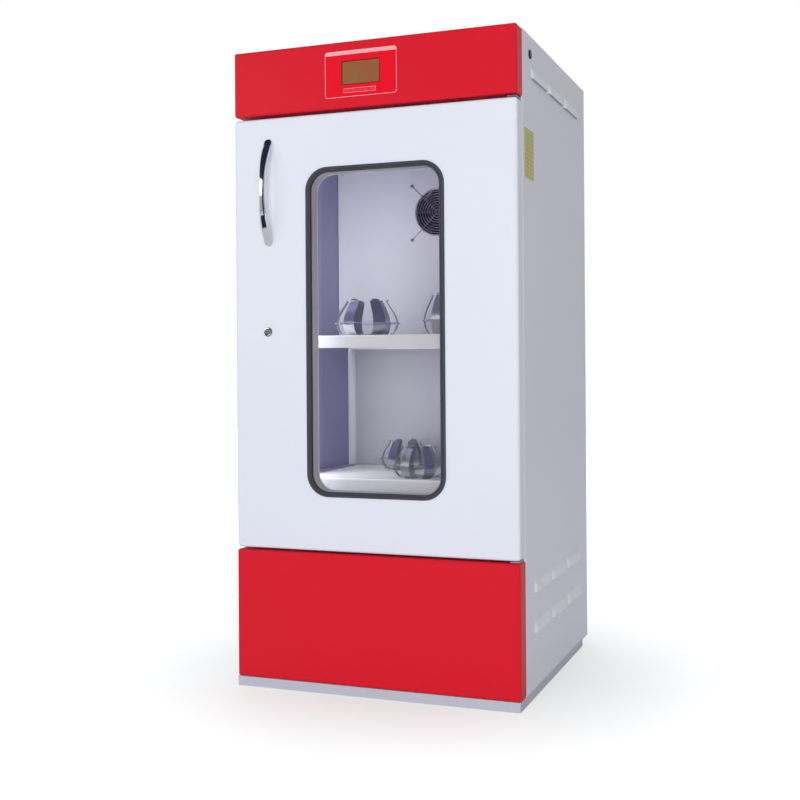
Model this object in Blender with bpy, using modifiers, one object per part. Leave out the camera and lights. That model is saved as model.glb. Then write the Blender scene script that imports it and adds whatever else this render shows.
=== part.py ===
"""Floor-standing orbital shaking incubator, modelled piece by piece at its real size.

Metres, +Z up. The front faces -Y. The origin is at the bottom centre of the whole object.
"""

import math

import bmesh
import bpy
from mathutils import Matrix, Vector

# Cabinet
WIDTH = 0.646
HEIGHT = 1.400
DEPTH = 0.658  # front plane to the rear edge of the side panels
SHEET = 0.0015
SEAT = 0.0003  # gap between two pieces that touch
BEND = 0.003
FRONT_DEPTH = 0.043  # fascia, door and lower panel stand this far before the cabinet's face
SIDE_RETURN = 0.020
REAR_RETURN = 0.015
PLINTH_HEIGHT = 0.021
PLINTH_SETBACK = 0.057
PLINTH_RAIL = 0.040
PAN = 0.003
TOP_FLANGE = 0.030
LOWER_PANEL_HEIGHT = 0.281
FASCIA_HEIGHT = 0.1425
GAP_BELOW_DOOR = 0.0045
GAP_ABOVE_DOOR = 0.007

# Louvres and vents
LOUVRE_LENGTH = 0.148
LOUVRE_PITCH = 0.157
LOUVRE_HEIGHT = 0.032
LOUVRE_PROUD = 0.006
LOUVRE_COUNT = 3
LOUVRE_SETBACK = 0.338  # front plane to the middle of a row
TOP_LOUVRE_DROP = 0.0725  # below the cabinet's top
LOW_LOUVRE_RISE = 0.155  # lowest row above the floor
LOW_LOUVRE_SPACING = 0.085
LOW_LOUVRE_ROWS = 2
VENT_SLOT = (0.200, 0.007)
VENT_SLOT_PITCH = 0.016
LOW_VENT_RISE = 0.075
LOW_VENT_COUNT = 12
TOP_VENT_DROP = 0.105
TOP_VENT_COUNT = 5
INTAKE_SLOT = (0.200, 0.008)
INTAKE_PLACE = (-0.130, 0.050)  # middle of the row of slots, and its first edge
INTAKE_PITCH = 0.020
INTAKE_COUNT = 7

# Chamber
SIDE_WALL = 0.053  # cabinet's side to the inside of the chamber
LINER_DEPTH = 0.557
DOOR_OVERLAP = 0.037  # the door laps the opening by this much, above and below
FLANGE_HEIGHT = 0.0395
INSULATION = 0.038
DECK = 0.005
DECK_LEG = 0.028  # side of a square leg
DECK_LEG_INSET = 0.0342
DECK_LEG_SETBACK = 0.020
DUCT_SETBACK = 0.402  # cabinet's face to the duct panel
DUCT_FLANGE = 0.020
RETURN_SLOT = (0.180, 0.008)
RETURN_SHIFT = 0.140
RETURN_RISE = 0.036
RETURN_PITCH = 0.016
RETURN_ROWS = 3

# Air circulation
FAN_DROP = 0.1285  # fan's axis below the chamber's ceiling
FAN_OPENING = 0.056
FAN_TIP = 0.067
FAN_HUB = 0.026  # radius and depth of the hub
FAN_CHORD = 0.026
FAN_MOTOR_RADIUS = 0.027
FAN_SCREW_OFFSET = 0.067
FAN_FRAME = 0.150
FAN_FRAME_DEPTH = 0.050
FAN_BLADES = 7
GUARD_RADIUS = 0.058
GUARD_RINGS = 5
GUARD_WIRE = 0.0009
HEATER_RADIUS = 0.072
HEATER_TUBE = 0.004
HEATER_LEG_SHIFT = 0.015
PROBE_RADIUS = 0.003
PROBE_PLACE = (0.130, 0.075)  # right of the fan's axis, and below it
PROBE_REACH = 0.045
PROBE_COLLAR = 0.007

# Door
DOOR_THICKNESS = 0.038
DOOR_EDGE_RADIUS = 0.006
PIVOT_INSET = 0.012
PIVOT_SETBACK = 0.014
PIN_RADIUS = 0.004
PIN_DEPTH = 0.014
BRACKET = 0.0025
BUSH_RADIUS = 0.0062
WINDOW_WIDTH = 0.317
WINDOW_DROP = 0.116  # below the door's upper edge
WINDOW_RADIUS = 0.050
WINDOW_SHIFT = 0.008  # right of the door's centre
WINDOW_RISE = 0.117  # above the door's lower edge
GASKET_WIDTH = 0.0115
GASKET_PROUD = 0.003
GASKET_NECK = 0.0055  # from the gasket's outer edge to its neck
GASKET_LIP = 0.0027
GLASS = 0.005
REAR_GLASS = 0.004
REAR_GLASS_LAP = 0.012
SEAL_WIDTH = 0.012
SEAL_LAP = 0.026  # seal's outer edge beyond the chamber's opening
HANDLE_INSET = 0.084  # from the door's left edge
HANDLE_DROP = 0.164  # handle's centre below the door's upper edge
HANDLE_LENGTH = 0.235
HANDLE_PROUD = 0.034
HANDLE_WIDTH = 0.020
HANDLE_FOOT = 0.016
HANDLE_STUD_RADIUS = 0.003
HANDLE_THICKNESS = 0.008
HANDLE_WAIST = 0.58  # share of the end's size that the grip's middle has
LOCK_INSET = 0.081
LOCK_RISE = 0.4745
LOCK_RADIUS = 0.0085
LOCK_FLANGE = 0.0105
CYLINDER_RADIUS = 0.006
CAM_LENGTH = 0.034
CAM_WIDTH = 0.012
CAM = 0.002

# Controls
OVERLAY_WIDTH = 0.165
OVERLAY_HEIGHT = 0.099
OVERLAY_SHIFT = -0.019
OVERLAY = 0.0008
DISPLAY_WIDTH = 0.088
DISPLAY_HEIGHT = 0.0515
DISPLAY_RISE = 0.002  # above the overlay's centre
INLET_PLACE = (0.215, 0.085)
INLET_FLANGE = (0.048, 0.028)
INLET_BODY = (0.027, 0.019)
INLET_RECESS = (0.023, 0.0156)
INLET_DEPTH = 0.016
SWITCH_SETBACK = 0.106
SWITCH_DROP = 0.040
SWITCH_RADIUS = 0.0100
SWITCH_BODY_RADIUS = 0.0085
SWITCH_BORE = 0.0072
ROCKER_TILT = 0.17

# Orbital drive
DRIVE_SETBACK = 0.201  # cabinet's face to the main shaft's axis
ORBIT_RADIUS = 0.0125
SHAFT_RADIUS = 0.0125
RUNNING_GAP = 0.0005
CRANK_RADIUS = 0.045
CRANK_LEVEL = 0.029  # underside of the cranks above the chamber floor
CRANK = 0.010
MAIN_PIN_RADIUS = 0.009
HOUSING_RADIUS = 0.026
HOUSING_FLANGE = 0.050
HOUSING_TAIL = 0.040  # below the deck's underside
COUNTERWEIGHT_RADIUS = 0.085
IDLER_INSET = 0.045  # idlers' axes inside the trays' sides
IDLER_SPAN_Y = 0.250
IDLER_SHAFT_RADIUS = 0.006
IDLER_PIN_RADIUS = 0.006
IDLER_ARM_RADIUS = 0.013
PEDESTAL_RADIUS = 0.022
PEDESTAL_FOOT = 0.032
PULLEY_RADIUS = 0.080
MOTOR_PULLEY_RADIUS = 0.028
PULLEY_WIDTH = 0.022
PULLEY_LEVEL = 0.214
GROOVE_DEPTH = 0.010
BELT = 0.005
BELT_DEPTH = 0.0015  # the belt's back below the pulley's rim
BELT_CLEARANCE = 0.0007
MOTOR_DISTANCE = 0.185
MOTOR_RADIUS = 0.046
MOTOR_SHAFT_RADIUS = 0.006
MOTOR_BORE_DEPTH = 0.026
MOTOR_FOOT = 0.110  # side of its square foot

# Carriage
TRAY_SIDE_GAP = 0.035
TRAY_DEPTH = 0.340
TRAY_LIP = 0.028
TRAY_SHEET = 0.002
TRAY_RISE = 0.1135  # lower tray's top above the chamber floor
TRAY_SPACING = 0.317
BEAM_WIDTH = 0.030
BEAM_HEIGHT = 0.026
HUB_RADIUS = 0.018
POST_INSET = 0.040  # posts' axes inside the idlers' axes
POST_RADIUS = 0.009
UPRIGHT_INSET = 0.008
UPRIGHT_DEPTH = 0.290
UPRIGHT_FLANGE = 0.022
CLAMP_SHEET = 0.0015
CLAMP_FOOT = 0.0026
CLAMP_FOOT_SHARE = 0.48  # foot's radius over the clamp's
CLAMP_SCREW_HEAD = 0.0052
CLAMP_SCREW = 0.0028
CLAMP_RING_WIRE = 0.0014

# Refrigeration
EVAPORATOR_SETBACK = 0.090  # duct panel to the coil's middle
EVAPORATOR_WIDTH = 0.320
EVAPORATOR_DEPTH = 0.056
EVAPORATOR_HEIGHT = 0.200
EVAPORATOR_RISE = 0.110
EVAPORATOR_FOOT = 0.120
PIPE = 0.004
COMPRESSOR_RADIUS = 0.072
COMPRESSOR_HEIGHT = 0.165
COMPRESSOR_PLACE = (0.165, 0.480)  # right of the centre, behind the front plane
CONDENSER_WIDTH = 0.260
CONDENSER_HEIGHT = 0.200
CONDENSER_DEPTH = 0.045
CONDENSER_SHIFT = -0.130
CONDENSER_FAN_RADIUS = 0.080
CONDENSER_FAN_HUB = 0.022
CONDENSER_FAN_DEPTH = 0.018
CONDENSER_FAN_BLADES = 5
CONDENSER_FAN_CHORD = 0.034
CONDENSER_SETBACK = 0.150  # rear panel to the coil's front
PIPE_OFFSET = 0.030  # pipe's axis before the coil's front
COIL_FINS = 6

# Places worked out from the sizes above
FRONT = HANDLE_PROUD - (DEPTH + HANDLE_PROUD) / 2
BACK = FRONT + DEPTH
FACE = FRONT + FRONT_DEPTH
LOWER_PANEL_TOP = PLINTH_HEIGHT + LOWER_PANEL_HEIGHT
DOOR_BOTTOM = LOWER_PANEL_TOP + GAP_BELOW_DOOR
FASCIA_BOTTOM = HEIGHT - FASCIA_HEIGHT
DOOR_TOP = FASCIA_BOTTOM - GAP_ABOVE_DOOR
DOOR_BACK = FRONT + DOOR_THICKNESS
FLOOR = DOOR_BOTTOM + DOOR_OVERLAP
CEILING = DOOR_TOP - DOOR_OVERLAP
FAN_HEIGHT = CEILING - FAN_DROP
WINDOW_HEIGHT = DOOR_TOP - DOOR_BOTTOM - WINDOW_RISE - WINDOW_DROP
CHAMBER_WIDTH = WIDTH - 2 * SIDE_WALL
TRAY_WIDTH = CHAMBER_WIDTH - 2 * TRAY_SIDE_GAP
IDLER_SPAN_X = TRAY_WIDTH - 2 * IDLER_INSET
DECK_TOP = FLOOR - SHEET - INSULATION - 2 * SEAT
LINER_BACK = FACE + LINER_DEPTH
REAR_FACE = BACK - SHEET - SEAT  # outer face of the rear panel
DUCT = FACE + DUCT_SETBACK
INSIDE = WIDTH / 2 - SHEET - SEAT
PAN_TOP = PLINTH_HEIGHT - SEAT
DRIVE_Y = FACE + DRIVE_SETBACK
TRAY_TOP = FLOOR + TRAY_RISE
UPPER_TRAY_TOP = TRAY_TOP + TRAY_SPACING
WINDOW_Z = DOOR_BOTTOM + WINDOW_RISE + WINDOW_HEIGHT / 2
PIVOT = Vector((WIDTH / 2 - PIVOT_INSET, FRONT + PIVOT_SETBACK, (DOOR_BOTTOM + DOOR_TOP) / 2))
LOCK = Vector((-WIDTH / 2 + LOCK_INSET, FRONT, DOOR_BOTTOM + LOCK_RISE))
CARRIAGE = Vector((0, DRIVE_Y + ORBIT_RADIUS, 0))
CRANK_BOTTOM = FLOOR + CRANK_LEVEL
HUB_BOTTOM = CRANK_BOTTOM + CRANK + 0.001
RIGHT, LEFT = 1, -1

# Flask clamps: name, radius over the arms, height, place on the tray, and the tray's top
CLAMPS = (
    ("large_flask_clamp", 0.070, 0.084, (-0.093, -0.048), UPPER_TRAY_TOP),
    ("tall_flask_clamp", 0.055, 0.094, (0.106, -0.048), UPPER_TRAY_TOP),
    ("front_small_flask_clamp", 0.054, 0.070, (0.050, -0.100), TRAY_TOP),
    ("rear_small_flask_clamp", 0.054, 0.070, (-0.050, 0.080), TRAY_TOP),
)


# Scene, finishes and placing


def clear_scene():
    for obj in list(bpy.data.objects):
        bpy.data.objects.remove(obj)


def collection(name):
    made = bpy.data.collections.new(name)
    bpy.context.scene.collection.children.link(made)
    return made


clear_scene()
PARTS = collection("orbital_shaking_incubator")
TOOLS = collection("cutters_and_guides")


def finish(name, colour, roughness, metallic=0.0, alpha=1.0):
    """A Principled material, made once for each name."""
    made = bpy.data.materials.get(name)
    if made is None:
        made = bpy.data.materials.new(name)
        made.use_nodes = True
        shader = made.node_tree.nodes["Principled BSDF"]
        shader.inputs["Base Color"].default_value = (*colour, 1.0)
        shader.inputs["Roughness"].default_value = roughness
        shader.inputs["Metallic"].default_value = metallic
        shader.inputs["Alpha"].default_value = alpha
    return made


RED_PAINT = finish("red_powder_coat", (0.72, 0.02, 0.03), 0.45)
WHITE_PAINT = finish("white_powder_coat", (0.82, 0.84, 0.88), 0.4)
GREY_PAINT = finish("light_grey_powder_coat", (0.62, 0.62, 0.66), 0.5)
CHAMBER_PAINT = finish("chamber_enamel", (0.66, 0.66, 0.72), 0.4)
TRAY_PAINT = finish("tray_enamel", (0.85, 0.84, 0.82), 0.4)
FOAM = finish("foam_insulation", (0.80, 0.74, 0.55), 0.9)
BLACK_RUBBER = finish("black_rubber", (0.03, 0.03, 0.035), 0.6)
GREY_RUBBER = finish("grey_seal_rubber", (0.35, 0.35, 0.37), 0.7)
CLEAR_GLASS = finish("clear_glass", (0.9, 0.95, 0.95), 0.05, 0.0, 0.3)
CHROME = finish("chrome_plate", (0.75, 0.76, 0.80), 0.12, 1.0)
STEEL = finish("stainless_steel", (0.58, 0.58, 0.60), 0.3, 1.0)
BARE_STEEL = finish("machined_steel", (0.42, 0.42, 0.44), 0.35, 1.0)
CAST_IRON = finish("cast_iron", (0.12, 0.13, 0.14), 0.6, 0.6)
ALUMINIUM = finish("aluminium", (0.70, 0.70, 0.72), 0.35, 1.0)
BLACK_PLASTIC = finish("black_plastic", (0.02, 0.02, 0.022), 0.45)
GREEN_PLASTIC = finish("green_rocker_plastic", (0.02, 0.20, 0.06), 0.3)
OVERLAY_FILM = finish("red_overlay_film", (0.78, 0.01, 0.05), 0.3)
DISPLAY = finish("display_glass", (0.26, 0.14, 0.06), 0.2)
MACHINE_BLACK = finish("black_machine_paint", (0.03, 0.03, 0.03), 0.4)
MOTOR_GREY = finish("motor_paint", (0.20, 0.24, 0.28), 0.5)


def world_place(obj):
    """World position of an object whose parents are neither turned nor scaled."""
    place = Vector((0, 0, 0))
    while obj is not None:
        place += obj.location
        obj = obj.parent
    return place


def empty(name, place, parent=None):
    made = bpy.data.objects.new(name, None)
    PARTS.objects.link(made)
    made.parent = parent
    made.location = Vector(place) - world_place(parent)
    return made


def add(name, data, material, place=(0, 0, 0), parent=None, turn=(0, 0, 0)):
    """An object of a sub-part at a world position; with no material it is a cutter or guide."""
    made = bpy.data.objects.new(name, data)
    (PARTS if material else TOOLS).objects.link(made)
    made.parent = parent
    made.location = Vector(place) - world_place(parent)
    made.rotation_euler = turn
    if material:
        data.materials.append(material)
    else:
        made.hide_render = True
        made.display_type = "WIRE"
    return made


def smooth(mesh, angle=35):
    mesh.shade_smooth()
    mesh.set_sharp_from_angle(angle=math.radians(angle))


# Solids from primitives


def box_mesh(name, boxes):
    """One mesh of separate boxes, each given by its low and high corners."""
    mesh = bpy.data.meshes.new(name)
    bm = bmesh.new()
    for low, high in boxes:
        low, high = Vector(low), Vector(high)
        matrix = Matrix.Translation((low + high) / 2) @ Matrix.Diagonal((*(high - low), 1))
        bmesh.ops.create_cube(bm, size=1, matrix=matrix)
    bm.to_mesh(mesh)
    bm.free()
    return mesh


def box(name, low, high, material=None, parent=None):
    """A box between two world corners, with its origin at its centre."""
    low, high = Vector(low), Vector(high)
    centre = (low + high) / 2
    mesh = box_mesh(name, [(low - centre, high - centre)])
    return add(name, mesh, material, centre, parent)


def boxes(name, corners, material=None, parent=None, origin=(0, 0, 0)):
    """Several separate boxes between world corners, in one object."""
    origin = Vector(origin)
    local = [(Vector(low) - origin, Vector(high) - origin) for low, high in corners]
    return add(name, box_mesh(name, local), material, origin, parent)


AXIS_TURN = {
    "X": Matrix.Rotation(math.radians(90), 4, "Y"),
    "Y": Matrix.Rotation(math.radians(90), 4, "X"),
    "Z": Matrix.Identity(4),
}


def rods(name, ends, axis, material=None, parent=None, sides=12, origin=(0, 0, 0)):
    """Separate round rods along one axis: each is (centre, radius, length)."""
    mesh = bpy.data.meshes.new(name)
    bm = bmesh.new()
    for centre, radius, length in ends:
        matrix = Matrix.Translation(Vector(centre) - Vector(origin)) @ AXIS_TURN[axis]
        bmesh.ops.create_cone(
            bm, cap_ends=True, segments=sides, radius1=radius, radius2=radius, depth=length, matrix=matrix
        )
    bm.to_mesh(mesh)
    bm.free()
    smooth(mesh)
    return add(name, mesh, material, origin, parent)


def rod_between(name, low, high, radius, axis, material=None, parent=None, sides=12):
    """One rod whose two ends are world points on the same axis."""
    low, high = Vector(low), Vector(high)
    return rods(name, [((low + high) / 2, radius, (high - low).length)], axis, material, parent, sides)


FACE_FRONT = (math.radians(90), 0, 0)  # local +Z turned to the front


def turned(name, profile, place, material=None, parent=None, steps=16, facing_front=False, closed=False):
    """A profile of (radius, height) points, running down its outer side, revolved about its own axis."""
    mesh = bpy.data.meshes.new(name)
    bm = bmesh.new()
    points = [bm.verts.new((radius, 0, height)) for radius, height in profile]
    pairs = list(zip(points, points[1:]))
    if closed:
        pairs.append((points[-1], points[0]))
    for pair in pairs:
        bm.edges.new(pair)
    bm.to_mesh(mesh)
    bm.free()
    made = add(name, mesh, material, place, parent, FACE_FRONT if facing_front else (0, 0, 0))
    screw = made.modifiers.new("revolve", "SCREW")
    screw.steps = screw.render_steps = steps
    screw.use_merge_vertices = True
    screw.merge_threshold = 0.00001
    return made


# Solids from outlines


def rounded_rectangle(width, height, radius, steps=4):
    """Points of a rounded rectangle about the origin, counter-clockwise."""
    points = []
    for quarter, (across, up) in enumerate(((1, 1), (-1, 1), (-1, -1), (1, -1))):
        centre = (across * (width / 2 - radius), up * (height / 2 - radius))
        for step in range(steps + 1):
            angle = math.radians(90) * (quarter + step / steps)
            points.append((centre[0] + radius * math.cos(angle), centre[1] + radius * math.sin(angle)))
    return points


def rectangle(width, height):
    return [(width / 2, height / 2), (-width / 2, height / 2), (-width / 2, -height / 2), (width / 2, -height / 2)]


def outline_curve(name, outlines, half_thickness):
    curve = bpy.data.curves.new(name, "CURVE")
    curve.dimensions = "2D"
    curve.fill_mode = "BOTH"
    curve.extrude = half_thickness
    for outline in outlines:
        spline = curve.splines.new("POLY")
        spline.points.add(len(outline) - 1)
        for point, (x, y) in zip(spline.points, outline):
            point.co = (x, y, 0, 1)
        spline.use_cyclic_u = True
    return curve


def mesh_of_curve(name, curve):
    """The welded mesh of a curve; the curve itself is dropped."""
    guide = bpy.data.objects.new(name + "_curve", curve)
    TOOLS.objects.link(guide)
    bpy.context.view_layer.update()
    evaluated = guide.evaluated_get(bpy.context.evaluated_depsgraph_get())
    mesh = bpy.data.meshes.new_from_object(evaluated)
    mesh.name = name
    bpy.data.objects.remove(guide)
    mesh.materials.clear()
    bm = bmesh.new()
    bm.from_mesh(mesh)
    bmesh.ops.remove_doubles(bm, verts=bm.verts, dist=0.00001)
    bmesh.ops.recalc_face_normals(bm, faces=bm.faces)
    bm.to_mesh(mesh)
    bm.free()
    return mesh


def plate(name, outlines, front, back, place, material=None, parent=None):
    """An upright plate: outlines in X and Z about `place`, from y = front to y = back."""
    mesh = mesh_of_curve(name, outline_curve(name, outlines, (back - front) / 2))
    smooth(mesh)
    middle = (place[0], (front + back) / 2, place[1])
    return add(name, mesh, material, middle, parent, FACE_FRONT)


def flat_plate(name, outlines, low, high, place, material=None, parent=None):
    """A level plate: outlines in X and Y about `place`, from z = low to z = high."""
    mesh = mesh_of_curve(name, outline_curve(name, outlines, (high - low) / 2))
    smooth(mesh)
    return add(name, mesh, material, (place[0], place[1], (low + high) / 2), parent)


# Sheet metal


def bend_edges(obj, radius, segments=2):
    bevel = obj.modifiers.new("bends", "BEVEL")
    bevel.width = radius
    bevel.segments = segments
    bevel.limit_method = "ANGLE"
    bevel.angle_limit = math.radians(40)


def thicken(obj, thickness):
    """Sheet thickness, laid behind the outer surface."""
    solid = obj.modifiers.new("sheet", "SOLIDIFY")
    solid.thickness = thickness
    solid.offset = -1
    solid.use_even_offset = True


def folded_sheet(name, path, along, low, high, material, parent=None, thickness=SHEET, bend=BEND):
    """A folded sheet: a path across the folds, carried from low to high along an axis.

    The path lies in X and Y when along is Z, in X and Z when along is Y, and in Y and Z when along
    is X. The outer side is on the right of the path for Z and X, and on its left for Y.
    """
    mesh = bpy.data.meshes.new(name)
    bm = bmesh.new()
    place = {
        "X": lambda a, b, c: (c, a, b),
        "Y": lambda a, b, c: (a, c, b),
        "Z": lambda a, b, c: (a, b, c),
    }[along]
    rows = [[bm.verts.new(place(*point, end)) for point in path] for end in (low, high)]
    for a, b, c, d in zip(rows[0], rows[0][1:], rows[1][1:], rows[1]):
        bm.faces.new((a, b, c, d))
    bm.to_mesh(mesh)
    bm.free()
    made = add(name, mesh, material, (0, 0, 0), parent)
    bend_edges(made, bend)
    thicken(made, thickness)
    return made


def open_box(name, low, high, open_side, material, parent=None, thickness=SHEET, bend=BEND, segments=2):
    """A box-shaped cover with one side left open, its sheet lying inside the given corners."""
    low, high = Vector(low), Vector(high)
    centre = (low + high) / 2
    mesh = box_mesh(name, [(low - centre, high - centre)])
    bm = bmesh.new()
    bm.from_mesh(mesh)
    bm.normal_update()
    side = Vector(open_side)
    lost = [face for face in bm.faces if face.normal.dot(side) > 0.9]
    bmesh.ops.delete(bm, geom=lost, context="FACES")
    bm.to_mesh(mesh)
    bm.free()
    made = add(name, mesh, material, centre, parent)
    bend_edges(made, bend, segments)
    thicken(made, thickness)
    return made


def boolean(obj, tool, operation):
    step = obj.modifiers.new(operation.lower() + "_" + tool.name, "BOOLEAN")
    step.operation = operation
    step.object = tool
    step.solver = "EXACT"


def cut(obj, *tools):
    for tool in tools:
        boolean(obj, tool, "DIFFERENCE")


def join(obj, *tools):
    for tool in tools:
        boolean(obj, tool, "UNION")


# Solids from rows of points


def loft(name, rows, place, material=None, parent=None, ring=False, turn=(0, 0, 0)):
    """A solid through rows of points; with `ring` the last row meets the first, else ends are capped."""
    mesh = bpy.data.meshes.new(name)
    bm = bmesh.new()
    loops = [[bm.verts.new(point) for point in row] for row in rows]
    pairs = list(zip(loops, loops[1:]))
    if ring:
        pairs.append((loops[-1], loops[0]))
    count = len(loops[0])
    for one, other in pairs:
        for index in range(count):
            after = (index + 1) % count
            bm.faces.new((one[index], one[after], other[after], other[index]))
    if not ring:
        bm.faces.new(loops[0])
        bm.faces.new(loops[-1])
    bmesh.ops.recalc_face_normals(bm, faces=bm.faces)
    bm.to_mesh(mesh)
    bm.free()
    smooth(mesh)
    return add(name, mesh, material, place, parent, turn)


def frame_ring(name, width, height, radius, section, place, material=None, parent=None, steps=4):
    """An upright ring: section points are (inset from the outer outline, y)."""
    rows = []
    for inset, y in section:
        outline = rounded_rectangle(width - 2 * inset, height - 2 * inset, radius - inset, steps)
        rows.append([(x, y, z) for x, z in outline])
    return loft(name, rows, place, material, parent, ring=True)


def circle(radius, sides, centre=(0, 0)):
    turns = [2 * math.pi * index / sides for index in range(sides)]
    return [(centre[0] + radius * math.cos(a), centre[1] + radius * math.sin(a)) for a in turns]


def rect_at(x0, y0, x1, y1):
    return [(x1, y1), (x0, y1), (x0, y0), (x1, y0)]


def tori(name, rings, axis, material=None, parent=None, sides=28, wire_sides=6, origin=(0, 0, 0)):
    """Separate wire rings about one axis: each is (centre, ring's radius, wire's radius)."""
    mesh = bpy.data.meshes.new(name)
    bm = bmesh.new()
    for centre, radius, wire in rings:
        matrix = Matrix.Translation(Vector(centre) - Vector(origin)) @ AXIS_TURN[axis]
        loops = []
        for x, y in circle(1, sides):
            section = [(radius + wire * c, wire * s) for c, s in circle(1, wire_sides)]
            loops.append([bm.verts.new(matrix @ Vector((x * r, y * r, z))) for r, z in section])
        for one, other in zip(loops, loops[1:] + loops[:1]):
            for index in range(wire_sides):
                after = (index + 1) % wire_sides
                bm.faces.new((one[index], one[after], other[after], other[index]))
    bmesh.ops.recalc_face_normals(bm, faces=bm.faces)
    bm.to_mesh(mesh)
    bm.free()
    smooth(mesh)
    return add(name, mesh, material, origin, parent)


def pipe(name, path, radius, material=None, parent=None, bend=0.018, sides=6):
    """A round pipe through the given points, with rounded corners and closed ends."""
    path = [Vector(point) for point in path]
    rounded = [path[0]]
    for before, corner, after in zip(path, path[1:], path[2:]):
        inward = (before - corner).normalized() * bend
        outward = (after - corner).normalized() * bend
        for step in range(3):
            t = step / 2
            rounded.append(corner + inward * (1 - t) ** 2 + outward * t**2)
    rounded.append(path[-1])
    curve = bpy.data.curves.new(name, "CURVE")
    curve.dimensions = "3D"
    curve.twist_mode = "MINIMUM"
    curve.bevel_depth = radius
    curve.bevel_resolution = sides // 2 - 2
    curve.use_fill_caps = True
    spline = curve.splines.new("POLY")
    spline.points.add(len(rounded) - 1)
    for point, co in zip(spline.points, rounded):
        point.co = (*co, 1)
    mesh = mesh_of_curve(name, curve)
    smooth(mesh, 50)
    return add(name, mesh, material, (0, 0, 0), parent)


def prisms(name, polygon, spans, material=None):
    """Prisms along Y of one outline in X and Z: each span is (low y, high y, raised by)."""
    mesh = bpy.data.meshes.new(name)
    bm = bmesh.new()
    for low, high, rise in spans:
        near = [bm.verts.new((x, low, z + rise)) for x, z in polygon]
        far = [bm.verts.new((x, high, z + rise)) for x, z in polygon]
        bm.faces.new(near)
        bm.faces.new(far)
        for index in range(len(polygon)):
            after = (index + 1) % len(polygon)
            bm.faces.new((near[index], near[after], far[after], far[index]))
    bmesh.ops.recalc_face_normals(bm, faces=bm.faces)
    bm.to_mesh(mesh)
    bm.free()
    return add(name, mesh, material)


def fin_pack(name, left, right, front, back, low, high):
    """A block of upright fins on a solid core: a comb-edged outline carried upwards."""
    slots = 2 * COIL_FINS
    pitch = (right - left) / slots
    edge = []
    for index in range(slots):
        depth = 0.004 if index % 2 else 0
        edge += [(left + index * pitch, depth), (left + (index + 1) * pitch, depth)]
    outline = [(x, front + depth) for x, depth in edge]
    outline += [(x, back - depth) for x, depth in reversed(edge)]
    return loft(name, [[(x, y, z) for x, y in outline] for z in (low, high)], (0, 0, 0))


def impeller(name, centre, hub_radius, tip_radius, depth, blades, chord, material, parent):
    """A hub about the Y axis with flat pitched blades set into it."""
    hub = rods(name, [((0, 0, 0), hub_radius, depth)], "Y", material, parent, 14)
    hub.location = Vector(centre) - world_place(parent)
    mesh = bpy.data.meshes.new(name + "_blades")
    bm = bmesh.new()
    length = tip_radius - hub_radius + 0.003
    for index in range(blades):
        spin = Matrix.Rotation(2 * math.pi * index / blades, 4, "Y")
        out = Matrix.Translation((hub_radius - 0.003 + length / 2, 0, 0))
        pitch = Matrix.Rotation(math.radians(38), 4, "X")
        size = Matrix.Diagonal((length, 0.002, chord, 1))
        bmesh.ops.create_cube(bm, size=1, matrix=spin @ out @ pitch @ size)
    bm.to_mesh(mesh)
    bm.free()
    join(hub, add(name + "_blades", mesh, None, centre))
    return hub


def serpentine_path(low, high, runs):
    """Corners of a tube that runs to and fro along X between two corners, from the bottom up."""
    low, high = Vector(low), Vector(high)
    y = (low.y + high.y) / 2
    pitch = (high.z - low.z) / (runs - 1)
    path = []
    for run in range(runs):
        z = low.z + run * pitch
        ends = (high.x, low.x) if run % 2 else (low.x, high.x)
        path += [(ends[0], y, z), (ends[1], y, z)]
    return path


# Base and cabinet

rail = PLINTH_RAIL
plinth_back = BACK - PLINTH_SETBACK
side_in = WIDTH / 2 - 0.001
plinth = flat_plate(
    "plinth",
    [
        rect_at(-side_in, FRONT, side_in, plinth_back),
        rect_at(rail - side_in, FRONT + rail, side_in - rail, -rail / 2),
        rect_at(rail - side_in, rail / 2, side_in - rail, plinth_back - rail),
    ],
    0,
    PAN_TOP - PAN / 2,
    (0, 0),
    GREY_PAINT,
)

join(plinth, box("base_pan", (-WIDTH / 2, FRONT, PAN_TOP - PAN), (WIDTH / 2, BACK, PAN_TOP)))
intakes = []
for row in range(INTAKE_COUNT):
    half = INTAKE_SLOT[0] / 2
    y = INTAKE_PLACE[1] + row * INTAKE_PITCH
    low = (INTAKE_PLACE[0] - half, y, 0)
    intakes.append((low, (INTAKE_PLACE[0] + half, y + INTAKE_SLOT[1], 2 * PLINTH_HEIGHT)))
cut(plinth, boxes("pan_intakes", intakes))


def louvre_outline(side, gap):
    """Outline in X and Z of a louvre, or with a gap of the space inside it, about its centre height."""
    half = LOUVRE_HEIGHT / 2
    if gap:
        inner, outer = WIDTH / 2 - SHEET - 0.003, WIDTH / 2 + LOUVRE_PROUD - SHEET
        points = [
            (inner, half - 0.004),
            (WIDTH / 2 - 0.001, half - 0.004),
            (outer, 0.006 - half),
            (outer, -half - 0.001),
            (inner, -half - 0.001),
        ]
    else:
        inner, outer = WIDTH / 2 - SHEET / 2, WIDTH / 2 + LOUVRE_PROUD
        points = [
            (inner, half),
            (WIDTH / 2 + 0.0004, half),
            (outer, 0.008 - half),
            (outer, -half),
            (inner, -half),
        ]
    return [(side * x, z) for x, z in points]


def louvre_spans(gap):
    spans = []
    middle = FRONT + LOUVRE_SETBACK
    heights = [HEIGHT - TOP_LOUVRE_DROP]
    heights += [LOW_LOUVRE_RISE + row * LOW_LOUVRE_SPACING for row in range(LOW_LOUVRE_ROWS)]
    for height in heights:
        for column in range(LOUVRE_COUNT):
            centre = middle + (column - (LOUVRE_COUNT - 1) / 2) * LOUVRE_PITCH
            half = LOUVRE_LENGTH / 2 - (SHEET if gap else 0)
            spans.append((centre - half, centre + half, height))
    return spans


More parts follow.
